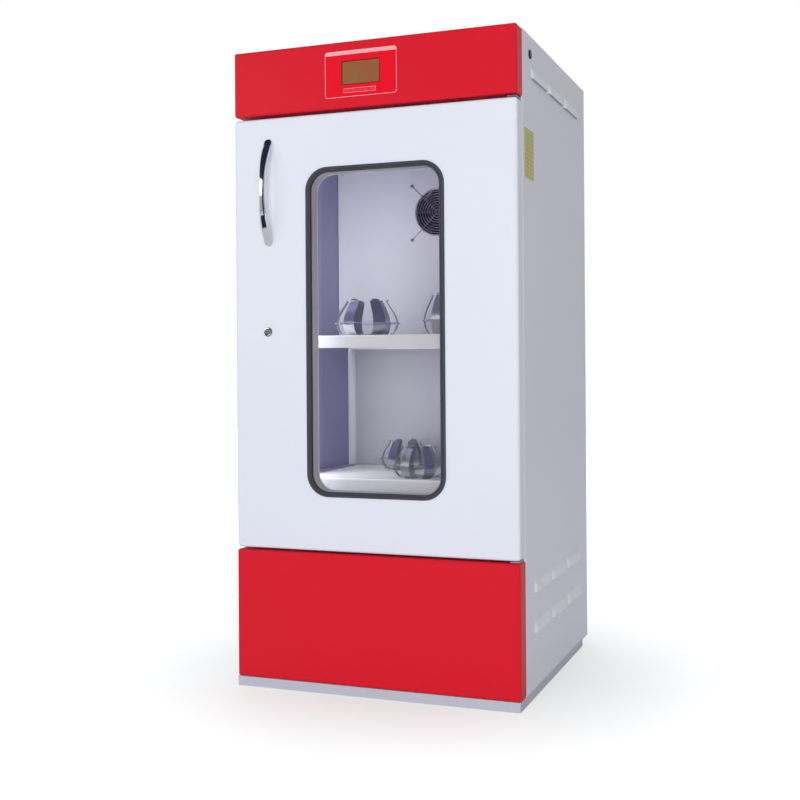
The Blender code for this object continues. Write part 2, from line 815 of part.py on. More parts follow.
def side_panel(name, side):
    x = side * WIDTH / 2
    path = [(x - side * SIDE_RETURN, FACE), (x, FACE), (x, BACK), (x - side * REAR_RETURN, BACK)]
    if side == LEFT:
        path.reverse()
    made = folded_sheet(name, path, "Z", PLINTH_HEIGHT, HEIGHT, WHITE_PAINT)
    join(made, prisms(name + "_louvres", louvre_outline(side, False), louvre_spans(False)))
    cut(made, prisms(name + "_louvre_gaps", louvre_outline(side, True), louvre_spans(True)))
    return made


right_side = side_panel("right_side_panel", RIGHT)
side_panel("left_side_panel", LEFT)

EDGE = INSIDE - 0.002  # clear of the inside of the folded corners
rear_panel = box(
    "rear_panel", (-EDGE, REAR_FACE - SHEET, PLINTH_HEIGHT), (EDGE, REAR_FACE, HEIGHT - 0.001), GREY_PAINT
)
slots = []
half = VENT_SLOT[0] / 2
for row in range(LOW_VENT_COUNT):
    z = LOW_VENT_RISE + row * VENT_SLOT_PITCH
    low = (CONDENSER_SHIFT - half, REAR_FACE - 0.01, z - VENT_SLOT[1] / 2)
    high = (CONDENSER_SHIFT + half, REAR_FACE + 0.01, z + VENT_SLOT[1] / 2)
    slots.append((low, high))
for row in range(TOP_VENT_COUNT):
    z = HEIGHT - TOP_VENT_DROP + row * VENT_SLOT_PITCH
    slots.append(((-half, REAR_FACE - 0.01, z), (half, REAR_FACE + 0.01, z + VENT_SLOT[1])))
cut(rear_panel, boxes("rear_vents", slots))

top_back = REAR_FACE - SHEET - SEAT
open_box(
    "top_panel",
    (-INSIDE, FACE + SHEET + SEAT, HEIGHT - TOP_FLANGE),
    (INSIDE, top_back, HEIGHT),
    (0, 0, -1),
    GREY_PAINT,
)

lower_panel = open_box(
    "lower_front_panel",
    (-WIDTH / 2, FRONT, PLINTH_HEIGHT),
    (WIDTH / 2, FACE - SEAT, LOWER_PANEL_TOP),
    (0, 1, 0),
    RED_PAINT,
    None,
    SHEET,
    0.004,
    2,
)
fascia = open_box(
    "control_fascia",
    (-WIDTH / 2, FRONT, FASCIA_BOTTOM),
    (WIDTH / 2, FACE - SEAT, HEIGHT),
    (0, 1, 0),
    RED_PAINT,
    None,
    SHEET,
    0.004,
    2,
)


# Drive deck, insulation and chamber

deck_back = REAR_FACE - SHEET - 0.004
deck_front = FACE + 0.004
deck = box(
    "drive_deck",
    (-EDGE, deck_front, DECK_TOP - DECK),
    (EDGE, deck_back, DECK_TOP),
    GREY_PAINT,
)
legs = []
half = DECK_LEG / 2
for x in (DECK_LEG_INSET - EDGE, EDGE - DECK_LEG_INSET):
    for y in (deck_front + DECK_LEG_SETBACK, deck_back - DECK_LEG_SETBACK):
        legs.append(((x - half, y - half, PAN_TOP + SEAT), (x + half, y + half, DECK_TOP - DECK / 2)))
join(deck, boxes("deck_legs", legs))

FOAM_TOP = CEILING + SHEET + INSULATION
half_chamber = CHAMBER_WIDTH / 2
insulation = box(
    "chamber_insulation",
    (-EDGE, FACE + SHEET + BEND, DECK_TOP + SEAT),
    (EDGE, top_back, FOAM_TOP),
    FOAM,
)
cavity = half_chamber + SHEET + SEAT
cut(
    insulation,
    box(
        "chamber_cavity",
        (-cavity, FACE - 0.05, FLOOR - SHEET - SEAT),
        (cavity, LINER_BACK + SHEET + SEAT, CEILING + SHEET + SEAT),
    ),
)


def liner_mesh():
    """The chamber's inner surface and its front flange, before the sheet is thickened."""
    mesh = bpy.data.meshes.new("chamber_liner")
    bm = bmesh.new()
    half_flange = WIDTH / 2 - SIDE_RETURN - SEAT

    def corners(half, low, high, y):
        places = ((-half, low), (half, low), (half, high), (-half, high))
        return [bm.verts.new((x, y, z)) for x, z in places]

    flange = corners(half_flange, FLOOR - FLANGE_HEIGHT, CEILING + FLANGE_HEIGHT, FACE)
    mouth = corners(half_chamber, FLOOR, CEILING, FACE)
    back = corners(half_chamber, FLOOR, CEILING, LINER_BACK)
    for one, other in ((flange, mouth), (mouth, back)):
        for index in range(4):
            after = (index + 1) % 4
            bm.faces.new((one[index], one[after], other[after], other[index]))
    bm.faces.new(back)
    bm.to_mesh(mesh)
    bm.free()
    return mesh


liner = add("chamber_liner", liner_mesh(), CHAMBER_PAINT)
bend_edges(liner, BEND)
thicken(liner, SHEET)

IDLERS = [
    (x, DRIVE_Y + y * IDLER_SPAN_Y / 2)
    for x, y in ((-IDLER_SPAN_X / 2, 1), (IDLER_SPAN_X / 2, 1), (0, -1))
]
SUCTION = (0.120, DUCT + EVAPORATOR_SETBACK)
LIQUID = (0.060, DUCT + EVAPORATOR_SETBACK)

hole_low, hole_high = DECK_TOP - DECK - 0.02, FLOOR + 0.02
hole_middle, hole_length = (hole_low + hole_high) / 2, hole_high - hole_low
round_up = 1 / math.cos(math.pi / 20)  # keeps the flats of a 20-sided hole clear
through = [((0, DRIVE_Y, hole_middle), (HOUSING_RADIUS + SEAT) * round_up, hole_length)]
through += [((x, y, hole_middle), PIPE + 0.0015, hole_length) for x, y in (SUCTION, LIQUID)]
cut(deck, rods("deck_holes", through, "Z", sides=20))
through += [((x, y, hole_middle), (PEDESTAL_RADIUS + SEAT) * round_up, hole_length) for x, y in IDLERS]
holes = rods("floor_holes", through, "Z", sides=20)
cut(insulation, holes)
cut(liner, holes)

# the lock's cam swings into this slot in the chamber's left wall
cam_y = FACE + 0.0095
strike = box(
    "lock_strike",
    (-half_chamber - 0.012, cam_y - 0.002, LOCK.z - 0.009),
    (-half_chamber + 0.01, cam_y + CAM + 0.002, LOCK.z + 0.026),
)
cut(liner, strike)
cut(insulation, strike)

duct = open_box(
    "air_duct_panel",
    (SEAT - half_chamber, DUCT, FLOOR + SEAT),
    (half_chamber - SEAT, DUCT + DUCT_FLANGE, CEILING - SEAT),
    (0, 1, 0),
    CHAMBER_PAINT,
)
returns = []
half = RETURN_SLOT[0] / 2
for row in range(RETURN_ROWS):
    z = FLOOR + RETURN_RISE + row * RETURN_PITCH
    for x in (-RETURN_SHIFT, RETURN_SHIFT):
        returns.append(((x - half, DUCT - 0.01, z), (x + half, DUCT + 0.01, z + RETURN_SLOT[1])))
cut(duct, boxes("return_slots", returns))


# Air circulation

fan_frame = plate(
    "circulation_fan_frame",
    [rounded_rectangle(FAN_FRAME, FAN_FRAME, 0.007, 3), circle(FAN_TIP + 0.0035, 24)],
    DUCT + SHEET + SEAT,
    DUCT + SHEET + SEAT + FAN_FRAME_DEPTH,
    (0, FAN_HEIGHT),
    BLACK_PLASTIC,
)
fan_rear = DUCT + SHEET + SEAT + FAN_FRAME_DEPTH
reach = FAN_TIP + 0.006
struts = [
    ((-reach, fan_rear - 0.008, FAN_HEIGHT - 0.004), (reach, fan_rear - 0.001, FAN_HEIGHT + 0.004)),
    ((-0.004, fan_rear - 0.0075, FAN_HEIGHT - reach), (0.004, fan_rear - 0.0015, FAN_HEIGHT + reach)),
]
join(fan_frame, box("fan_strut_a", *struts[0]))
join(fan_frame, box("fan_strut_b", *struts[1]))
motor_ends = ((0, fan_rear - 0.012, FAN_HEIGHT), (0, fan_rear - 0.0005, FAN_HEIGHT))
join(fan_frame, rod_between("fan_motor", *motor_ends, FAN_MOTOR_RADIUS, "Y"))

cut(duct, rods("fan_opening", [((0, DUCT, FAN_HEIGHT), FAN_OPENING, 0.02)], "Y", None, None, 28))

fan_place = (0, fan_rear - 0.012 - SEAT - FAN_HUB / 2, FAN_HEIGHT)
fan_pivot = empty("circulation_fan", fan_place)
impeller(
    "circulation_fan_impeller",
    fan_place,
    FAN_HUB,
    FAN_TIP,
    FAN_HUB,
    FAN_BLADES,
    FAN_CHORD,
    BLACK_PLASTIC,
    fan_pivot,
)

arm_y = DUCT - SEAT - 0.0009
ring_y = arm_y - 0.0012
rings = [
    ((0, ring_y, FAN_HEIGHT), GUARD_RADIUS * (1 - index / (GUARD_RINGS + 0.5)), GUARD_WIRE)
    for index in range(GUARD_RINGS)
]
guard = tori("fan_guard", rings, "Y", CHROME, None, 20, 4)
for spoke in range(4):
    turn = math.radians(45 + 90 * spoke)
    reach = FAN_SCREW_OFFSET * math.sqrt(2)
    arm_span = (0.010 + reach) / 2
    arm = rods(f"guard_arm_{spoke}", [((arm_span, 0, 0), GUARD_WIRE, reach - 0.010)], "X", sides=5)
    arm.data.transform(Matrix.Rotation(turn, 4, "Y"))
    arm.location = (0, arm_y, FAN_HEIGHT)
    join(guard, arm)
tabs = []
screws = []
for x in (-FAN_SCREW_OFFSET, FAN_SCREW_OFFSET):
    for z in (-FAN_SCREW_OFFSET, FAN_SCREW_OFFSET):
        tabs.append(((x, arm_y, FAN_HEIGHT + z), 0.0052, 0.0018))
        screws.append((x, FAN_HEIGHT + z))
join(guard, rods("guard_tabs", tabs, "Y", None, None, 10))
shanks = rods("fan_screw_holes", [((x, DUCT, z), 0.0019, 0.03) for x, z in screws], "Y", None, None, 8)
for piece in (duct, fan_frame):
    cut(piece, shanks)
heads = [((x, arm_y - 0.0015, z), 0.0036, 0.0022) for x, z in screws]
join(guard, rods("fan_screw_heads", heads, "Y", None, None, 8))
shank_ends = [((x, arm_y + 0.0045, z), 0.0016, 0.012) for x, z in screws]
join(guard, rods("fan_screw_shanks", shank_ends, "Y", None, None, 6))

heater_y = fan_rear + 0.014
heater = tori("ring_heater", [((0, heater_y, FAN_HEIGHT), HEATER_RADIUS, HEATER_TUBE)], "Y", STEEL, None, 20, 5)
leg_z = FAN_HEIGHT - math.sqrt(HEATER_RADIUS**2 - HEATER_LEG_SHIFT**2)
back_y = LINER_BACK - SEAT
legs = []
for x in (-HEATER_LEG_SHIFT, HEATER_LEG_SHIFT):
    legs.append(((x, (heater_y + back_y) / 2, leg_z), 0.0035, back_y - heater_y))
    legs.append(((x, back_y - 0.002, leg_z), 0.009, 0.003))
for index, leg in enumerate(legs):
    join(heater, rods(f"heater_leg_{index}", [leg], "Y", None, None, 6))

coil_low = Vector((-EVAPORATOR_WIDTH / 2, DUCT + EVAPORATOR_SETBACK, FLOOR + EVAPORATOR_RISE))
coil_high = coil_low + Vector((EVAPORATOR_WIDTH, 0, EVAPORATOR_HEIGHT))
pipe_break = DECK_TOP - DECK - 0.010  # the liquid pipe's joint, just below the deck
compressor_x, compressor_y = COMPRESSOR_PLACE[0], FRONT + COMPRESSOR_PLACE[1]
shell_low = PAN_TOP + 0.016
shell_high = shell_low + COMPRESSOR_HEIGHT
port = 0.034  # the compressor's ports lie this far to either side of its axis
evaporator = pipe(
    "evaporator_coil",
    [
        (*LIQUID, pipe_break + SEAT),
        (*LIQUID, FLOOR + 0.060),
        (coil_low.x - 0.004, coil_low.y, FLOOR + 0.060),
        (coil_low.x - 0.004, coil_low.y, coil_low.z),
    ]
    + serpentine_path(coil_low, coil_high, 3)[1:-1]
    + [
        (coil_high.x + 0.050, coil_high.y, coil_high.z),
        (coil_high.x + 0.050, coil_high.y, FLOOR + 0.045),
        (*SUCTION, FLOOR + 0.045),
        (*SUCTION, DECK_TOP - 0.050),
        (compressor_x + port, compressor_y, DECK_TOP - 0.050),
        (compressor_x + port, compressor_y, shell_high - 0.0025),
    ],
    PIPE,
    ALUMINIUM,
)
fin_half = EVAPORATOR_WIDTH / 2 - 0.020
fin_front, fin_back = coil_low.y - EVAPORATOR_DEPTH / 2, coil_low.y + EVAPORATOR_DEPTH / 2
fin_low, fin_high = coil_low.z - 0.020, coil_high.z + 0.020
join(evaporator, fin_pack("evaporator_fins", -fin_half, fin_half, fin_front, fin_back, fin_low, fin_high))
feet = []
for x in (-EVAPORATOR_FOOT, EVAPORATOR_FOOT):
    foot_low = (x - 0.010, coil_low.y - 0.020, FLOOR + SEAT)
    feet.append((foot_low, (x + 0.010, coil_low.y + 0.020, fin_low + 0.001)))
join(evaporator, boxes("evaporator_feet", feet))

probe_x, probe_z = PROBE_PLACE[0], FAN_HEIGHT - PROBE_PLACE[1]
probe_tip = (probe_x, DUCT - PROBE_REACH, probe_z)
probe_end = (probe_x, DUCT + DUCT_FLANGE, probe_z)
probe = rod_between("temperature_probe", probe_tip, probe_end, PROBE_RADIUS, "Y", STEEL)
collar = ((probe_x, DUCT - SEAT - 0.002, probe_z), PROBE_COLLAR, 0.004)
join(probe, rods("probe_collar", [collar], "Y", None, None, 16))
probe_room = ((probe_x, DUCT, probe_z), PROBE_RADIUS + 2 * SEAT, 0.02)
cut(duct, rods("probe_hole", [probe_room], "Y", None, None, 12))


# Orbital drive

housing_low = DECK_TOP - DECK - HOUSING_TAIL
housing_high = CRANK_BOTTOM - 0.0025
deck_under = DECK_TOP - DECK - SEAT
turned(
    "main_bearing_housing",
    [
        (SHAFT_RADIUS + RUNNING_GAP, housing_high),
        (HOUSING_RADIUS - 0.002, housing_high),
        (HOUSING_RADIUS, housing_high - 0.002),
        (HOUSING_RADIUS, deck_under),
        (HOUSING_FLANGE, deck_under),
        (HOUSING_FLANGE, deck_under - 0.008),
        (HOUSING_RADIUS + 0.003, deck_under - 0.010),
        (HOUSING_RADIUS, deck_under - 0.016),
        (HOUSING_RADIUS, housing_low),
        (SHAFT_RADIUS + RUNNING_GAP, housing_low),
    ],
    (0, DRIVE_Y, 0),
    CAST_IRON,
    closed=True,
)
pedestal_low = DECK_TOP - DECK - 0.006
for index, (x, y) in enumerate(IDLERS):
    pedestal = turned(
        f"idler_pedestal_{index}",
        [
            (IDLER_SHAFT_RADIUS + RUNNING_GAP, housing_high),
            (PEDESTAL_RADIUS - 0.004, housing_high),
            (PEDESTAL_RADIUS, housing_high - 0.004),
            (PEDESTAL_RADIUS, DECK_TOP - 0.001),
            (PEDESTAL_FOOT, DECK_TOP - DECK / 2),
            (PEDESTAL_FOOT, pedestal_low),
            (IDLER_SHAFT_RADIUS + RUNNING_GAP, pedestal_low),
        ],
        (x, y, 0),
        None,
        None,
        12,
        closed=True,
    )
    cut(deck, rods(f"pedestal_bore_{index}", [((x, y, DECK_TOP), 0.012, 0.04)], "Z", None, None, 16))
    join(deck, pedestal)

main_pivot = empty("drive_spin", (0, DRIVE_Y, CRANK_BOTTOM))
pin_top = HUB_BOTTOM + 0.0265
shaft_low = PULLEY_LEVEL - PULLEY_WIDTH / 2 - 0.012
main_crank = turned(
    "main_crankshaft",
    [
        (0, CRANK_BOTTOM + CRANK),
        (CRANK_RADIUS, CRANK_BOTTOM + CRANK),
        (CRANK_RADIUS, CRANK_BOTTOM),
        (0.0165, CRANK_BOTTOM),
        (0.0165, housing_high + 0.0006),
        (SHAFT_RADIUS, housing_high + 0.0006),
        (SHAFT_RADIUS, shaft_low),
        (0, shaft_low),
    ],
    (0, DRIVE_Y, 0),
    BARE_STEEL,
    main_pivot,
)
pin_ends = ((0, CARRIAGE.y, CRANK_BOTTOM + 0.002), (0, CARRIAGE.y, pin_top))
join(main_crank, rod_between("main_pin", *pin_ends, MAIN_PIN_RADIUS, "Z"))

weight = []
for step in range(9):
    angle = math.radians(-155 + 130 * step / 8)
    weight.append((COUNTERWEIGHT_RADIUS * math.cos(angle), COUNTERWEIGHT_RADIUS * math.sin(angle)))
for step in range(9):
    angle = math.radians(-25 - 130 * step / 8)
    weight.append((0.031 * math.cos(angle), 0.031 * math.sin(angle)))
weight_low = CRANK_BOTTOM - 0.016
join(main_crank, flat_plate("counterweight", [weight], weight_low, CRANK_BOTTOM + 0.004, (0, DRIVE_Y)))


def pulley_profile(radius, bore):
    half = PULLEY_WIDTH / 2
    return [
        (bore, half),
        (radius, half),
        (radius, half - 0.003),
        (radius - GROOVE_DEPTH, 0.0035),
        (radius - GROOVE_DEPTH, -0.0035),
        (radius, 0.003 - half),
        (radius, -half),
        (bore, -half),
    ]


turned(
    "main_pulley",
    pulley_profile(PULLEY_RADIUS, SHAFT_RADIUS + SEAT),
    (0, DRIVE_Y, PULLEY_LEVEL),
    ALUMINIUM,
    main_pivot,
    24,
    closed=True,
)

MOTOR = Vector((-MOTOR_DISTANCE, DRIVE_Y, 0))
motor_pivot = empty("motor_spin", (MOTOR.x, MOTOR.y, PULLEY_LEVEL))
half = PULLEY_WIDTH / 2
motor_top = PULLEY_LEVEL - half - 0.016
turned(
    "motor_pulley",
    [(0, half + 0.004), (0.012, half + 0.004), (0.012, half)]
    + pulley_profile(MOTOR_PULLEY_RADIUS, 0.012)[1:-1]
    + [
        (MOTOR_SHAFT_RADIUS, -half),
        (MOTOR_SHAFT_RADIUS, motor_top - PULLEY_LEVEL - MOTOR_BORE_DEPTH + 0.002),
        (0, motor_top - PULLEY_LEVEL - MOTOR_BORE_DEPTH + 0.002),
    ],
    (MOTOR.x, MOTOR.y, PULLEY_LEVEL),
    BARE_STEEL,
    motor_pivot,
    16,
)
motor_low = PAN_TOP + SEAT
motor = turned(
    "drive_motor",
    [
        (0, motor_top - MOTOR_BORE_DEPTH),
        (MOTOR_SHAFT_RADIUS + 0.0008, motor_top - MOTOR_BORE_DEPTH),
        (MOTOR_SHAFT_RADIUS + 0.0008, motor_top),
        (0.016, motor_top),
        (0.016, motor_top - 0.004),
        (MOTOR_RADIUS - 0.004, motor_top - 0.006),
        (MOTOR_RADIUS, motor_top - 0.010),
        (MOTOR_RADIUS, motor_low + 0.024),
        (MOTOR_RADIUS - 0.006, motor_low + 0.018),
        (0.030, motor_low + 0.018),
        (0.030, motor_low + 0.004),
        (0, motor_low + 0.004),
    ],
    (MOTOR.x, MOTOR.y, 0),
    MOTOR_GREY,
)
half = MOTOR_FOOT / 2
foot_low = (MOTOR.x - half, MOTOR.y - half, motor_low)
join(motor, box("motor_foot", foot_low, (MOTOR.x + half, MOTOR.y + half, motor_low + 0.006)))


def belt_rows():
    """Rows of the belt's wedge section, round both pulleys."""
    lean = math.asin((PULLEY_RADIUS - MOTOR_PULLEY_RADIUS) / MOTOR_DISTANCE)
    rows = []
    for depth, side in ((BELT_DEPTH, 1), (BELT_DEPTH, -1), (BELT_DEPTH + BELT, -1), (BELT_DEPTH + BELT, 1)):
        flank = 0.0035 + (PULLEY_WIDTH / 2 - 0.0065) * (1 - depth / GROOVE_DEPTH)
        level = side * (flank - BELT_CLEARANCE)
        big, small = PULLEY_RADIUS - depth, MOTOR_PULLEY_RADIUS - depth
        row = []
        for step in range(19):
            angle = -(math.pi / 2 + lean) + step * (math.pi + 2 * lean) / 18
            row.append((big * math.cos(angle), big * math.sin(angle), level))
        for step in range(9):
            angle = math.pi / 2 + lean + step * (math.pi - 2 * lean) / 8
            row.append((small * math.cos(angle) - MOTOR_DISTANCE, small * math.sin(angle), level))
        rows.append(row)
    return rows


loft("drive_belt", belt_rows(), (0, DRIVE_Y, PULLEY_LEVEL), BLACK_RUBBER, None, ring=True)


def idler(name, place):
    pivot = empty(name + "_spin", (*place, CRANK_BOTTOM))
    arm = []
    for step in range(7):
        angle = math.pi * step / 6
        arm.append((IDLER_ARM_RADIUS * math.cos(angle), ORBIT_RADIUS + IDLER_ARM_RADIUS * math.sin(angle)))
    for step in range(7):
        angle = math.pi + math.pi * step / 6
        arm.append((IDLER_ARM_RADIUS * math.cos(angle), IDLER_ARM_RADIUS * math.sin(angle)))
    made = flat_plate(name, [arm], CRANK_BOTTOM, CRANK_BOTTOM + CRANK, place, BARE_STEEL, pivot)
    x, y = place
    low, high = pedestal_low - 0.002, CRANK_BOTTOM + 0.002
    join(made, rod_between(name + "_shaft", (x, y, low), (x, y, high), IDLER_SHAFT_RADIUS, "Z", None, None, 10))
    y += ORBIT_RADIUS
    low = CRANK_BOTTOM + 0.002
    join(made, rod_between(name + "_pin", (x, y, low), (x, y, pin_top), IDLER_PIN_RADIUS, "Z", None, None, 10))


for name, place in zip(("left_idler_crank", "right_idler_crank", "front_idler_crank"), IDLERS):
    idler(name, place)


# Carriage and trays

carriage_pivot = empty("carriage", (CARRIAGE.x, CARRIAGE.y, HUB_BOTTOM), main_pivot)
beam_low = HUB_BOTTOM + 0.001
beam_high = beam_low + BEAM_HEIGHT
half_beam = BEAM_WIDTH / 2
span_x, span_y = IDLER_SPAN_X / 2, IDLER_SPAN_Y / 2
spine_low = (-half_beam, CARRIAGE.y - span_y, beam_low + 0.0005)
spine_high = (half_beam, CARRIAGE.y + span_y, beam_high - 0.0005)
carriage = box("carriage_frame", spine_low, spine_high, BARE_STEEL, carriage_pivot)
for name, y in (("rear_beam", CARRIAGE.y + span_y), ("front_beam", CARRIAGE.y - span_y)):
    beam_front = (-span_x, y - half_beam, beam_low)
    join(carriage, box(name, beam_front, (span_x, y + half_beam, beam_high)))
hub_places = [(x, y + ORBIT_RADIUS) for x, y in IDLERS] + [(0, CARRIAGE.y)]
hub_middle = (HUB_BOTTOM + beam_high + 0.001) / 2
hub_height = beam_high + 0.001 - HUB_BOTTOM
hubs = [((x, y, hub_middle), HUB_RADIUS, hub_height) for x, y in hub_places]
join(carriage, rods("carriage_hubs", hubs, "Z", None, None, 16))
post_low, post_high = beam_high - 0.004, TRAY_TOP - TRAY_SHEET - SEAT
posts = []
for x in (POST_INSET - span_x, span_x - POST_INSET):
    for y in (CARRIAGE.y - span_y, CARRIAGE.y + span_y):
        posts.append(((x, y, (post_low + post_high) / 2), POST_RADIUS, post_high - post_low))
join(carriage, rods("tray_posts", posts, "Z", None, None, 8))
bores = [((x, y, hub_middle), IDLER_PIN_RADIUS + RUNNING_GAP, 0.06) for x, y in hub_places[:3]]
bores.append(((0, CARRIAGE.y, hub_middle), MAIN_PIN_RADIUS + RUNNING_GAP, 0.06))
cut(carriage, rods("pin_bores", bores, "Z", None, None, 12))


def tray(name, top):
    low = (-TRAY_WIDTH / 2, CARRIAGE.y - TRAY_DEPTH / 2, top - TRAY_LIP)
    high = (TRAY_WIDTH / 2, CARRIAGE.y + TRAY_DEPTH / 2, top)
    return open_box(name, low, high, (0, 0, -1), TRAY_PAINT, carriage_pivot, TRAY_SHEET, 0.004)


lower_tray = tray("lower_tray", TRAY_TOP)
upper_tray = tray("upper_tray", UPPER_TRAY_TOP)

brace_low, brace_high = TRAY_TOP + SEAT, UPPER_TRAY_TOP - TRAY_SHEET - SEAT
brace_front = CARRIAGE.y - UPRIGHT_DEPTH / 2
for name, side in (("right_tray_brace", RIGHT), ("left_tray_brace", LEFT)):
    x = side * (TRAY_WIDTH / 2 - UPRIGHT_INSET)
    inner = x - side * UPRIGHT_FLANGE
    path = [(inner, brace_low), (x, brace_low), (x, brace_high), (inner, brace_high)]
    if side == RIGHT:
        path.reverse()
    brace_back = brace_front + UPRIGHT_DEPTH
    folded_sheet(name, path, "Y", brace_front, brace_back, TRAY_PAINT, carriage_pivot, 0.002)


# Flask clamps

CLAMP_ARMS = 6
ARM_SHARE = 0.17  # half an arm's width over the clamp's radius


def arm_path(radius, height):
    """Middle line of one arm, as (distance from the clamp's axis, height above the tray)."""
    return [
        (0.42 * radius, 0.0017),
        (0.74 * radius, 0.0017),
        (0.93 * radius, 0.14 * height),
        (1.000 * radius, 0.36 * height),
        (0.88 * radius, 0.64 * height),
        (0.66 * radius, 0.92 * height),
        (0.72 * radius, 1.00 * height),
    ]


def arms_mesh(name, radius, height):
    """Six bent arms as separate solids about the clamp's axis."""
    mesh = bpy.data.meshes.new(name)
    bm = bmesh.new()
    path = [Vector((x, 0, z)) for x, z in arm_path(radius, height)]
    for arm in range(CLAMP_ARMS):
        spin = Matrix.Rotation(2 * math.pi * (arm + 0.25) / CLAMP_ARMS, 4, "Z")
        loops = []
        for index, point in enumerate(path):
            before = path[max(index - 1, 0)]
            after = path[min(index + 1, len(path) - 1)]
            along = (after - before).normalized()
            out = Vector((along.z, 0, -along.x)) * CLAMP_SHEET / 2
            width = radius * (ARM_SHARE if index < len(path) - 2 else 0.13)
            across = Vector((0, width, 0))
            corners = (point + out + across, point + out - across, point - out - across, point - out + across)
            loops.append([bm.verts.new(spin @ corner) for corner in corners])
        for one, other in zip(loops, loops[1:]):
            for index in range(4):
                after = (index + 1) % 4
                bm.faces.new((one[index], one[after], other[after], other[index]))
        bm.faces.new(loops[0])
        bm.faces.new(loops[-1])
    bmesh.ops.recalc_face_normals(bm, faces=bm.faces)
    bm.to_mesh(mesh)
    bm.free()
    return mesh


for name, radius, height, (dx, dy), top in CLAMPS:
    place = Vector((dx, CARRIAGE.y + dy, top + SEAT))
    foot_radius = CLAMP_FOOT_SHARE * radius
    foot = [(0, CLAMP_FOOT), (foot_radius, CLAMP_FOOT), (foot_radius, 0), (0, 0)]
    made = turned(name, foot, place, STEEL, carriage_pivot, 14)
    join(made, add(name + "_arms", arms_mesh(name + "_arms", radius, height), None, place))
    head = (place + Vector((0, 0, CLAMP_FOOT + 0.0009)), CLAMP_SCREW_HEAD, 0.004)
    join(made, rods(name + "_head", [head], "Z", None, None, 10))
    shank = (place - Vector((0, 0, 0.0030)), CLAMP_SCREW, 0.0100)
    join(made, rods(name + "_shank", [shank], "Z", None, None, 8))
    level_tray = upper_tray if top == UPPER_TRAY_TOP else lower_tray
    cut(level_tray, rods(name + "_hole", [(place, CLAMP_SCREW + 0.0004, 0.03)], "Z", None, None, 8))
    reach = math.hypot(radius + CLAMP_SHEET / 2, ARM_SHARE * radius) + CLAMP_RING_WIRE + SEAT
    reach /= math.cos(math.pi / 20)
    level = place + Vector((0, 0, 0.345 * height))
    tori(name + "_spring", [(level, reach, CLAMP_RING_WIRE)], "Z", CHROME, carriage_pivot, 20, 4, place)


# Refrigeration

compressor = turned(
    "refrigerant_compressor",
    [
        (0, shell_high),
        (0.030, shell_high - 0.003),
        (0.055, shell_high - 0.016),
        (COMPRESSOR_RADIUS, shell_high - 0.040),
        (COMPRESSOR_RADIUS, shell_low + 0.030),
        (0.055, shell_low + 0.008),
        (0.030, shell_low + 0.001),
        (0, shell_low + 0.001),
    ],
    (compressor_x, compressor_y, 0),
    MACHINE_BLACK,
)
foot_low = (compressor_x - 0.076, compressor_y - 0.054, shell_low)
foot_high = (compressor_x + 0.076, compressor_y + 0.054, shell_low + 0.0035)
join(compressor, box("compressor_foot", foot_low, foot_high))
feet = []
for x in (-0.062, 0.062):
    for y in (-0.040, 0.040):
        place = (compressor_x + x, compressor_y + y, (PAN_TOP + SEAT + shell_low + 0.001) / 2)
        feet.append((place, 0.010, shell_low + 0.001 - PAN_TOP - SEAT))
join(compressor, rods("compressor_rubbers", feet, "Z", None, None, 16))

coil_y = REAR_FACE - CONDENSER_SETBACK
coil_centre = coil_y + CONDENSER_DEPTH / 2
coil_bottom = PAN_TOP + 0.015
coil_left, coil_right = CONDENSER_SHIFT - CONDENSER_WIDTH / 2, CONDENSER_SHIFT + CONDENSER_WIDTH / 2
coil_lowest = Vector((coil_left, coil_centre, coil_bottom + 0.020))
coil_highest = Vector((coil_right, coil_centre, coil_bottom + CONDENSER_HEIGHT - 0.020))
condenser = pipe(
    "condenser_coil",
    [
        (*LIQUID, pipe_break - SEAT),
        (*LIQUID, coil_bottom + CONDENSER_HEIGHT + PIPE_OFFSET),
        (LIQUID[0], coil_y - PIPE_OFFSET, coil_bottom + CONDENSER_HEIGHT + PIPE_OFFSET),
        (LIQUID[0], coil_y - PIPE_OFFSET, PAN_TOP + 0.010),
        (coil_left - 0.006, coil_y - PIPE_OFFSET, PAN_TOP + 0.010),
        (coil_left - 0.006, coil_centre, coil_lowest.z),
    ]
    + serpentine_path(coil_lowest, coil_highest, 3)[1:-1]
    + [
        (coil_right + 0.022, coil_centre, coil_highest.z),
        (coil_right + 0.022, coil_centre, shell_high + 0.045),
        (compressor_x - port, compressor_y, shell_high + 0.045),
        (compressor_x - port, compressor_y, shell_high - 0.0025),
    ],
    PIPE,
    ALUMINIUM,
)
fin_left, fin_right = coil_left + 0.020, coil_right - 0.020
coil_rear, coil_top = coil_y + CONDENSER_DEPTH, coil_bottom + CONDENSER_HEIGHT
join(condenser, fin_pack("condenser_fins", fin_left, fin_right, coil_y, coil_rear, PAN_TOP + SEAT, coil_top))

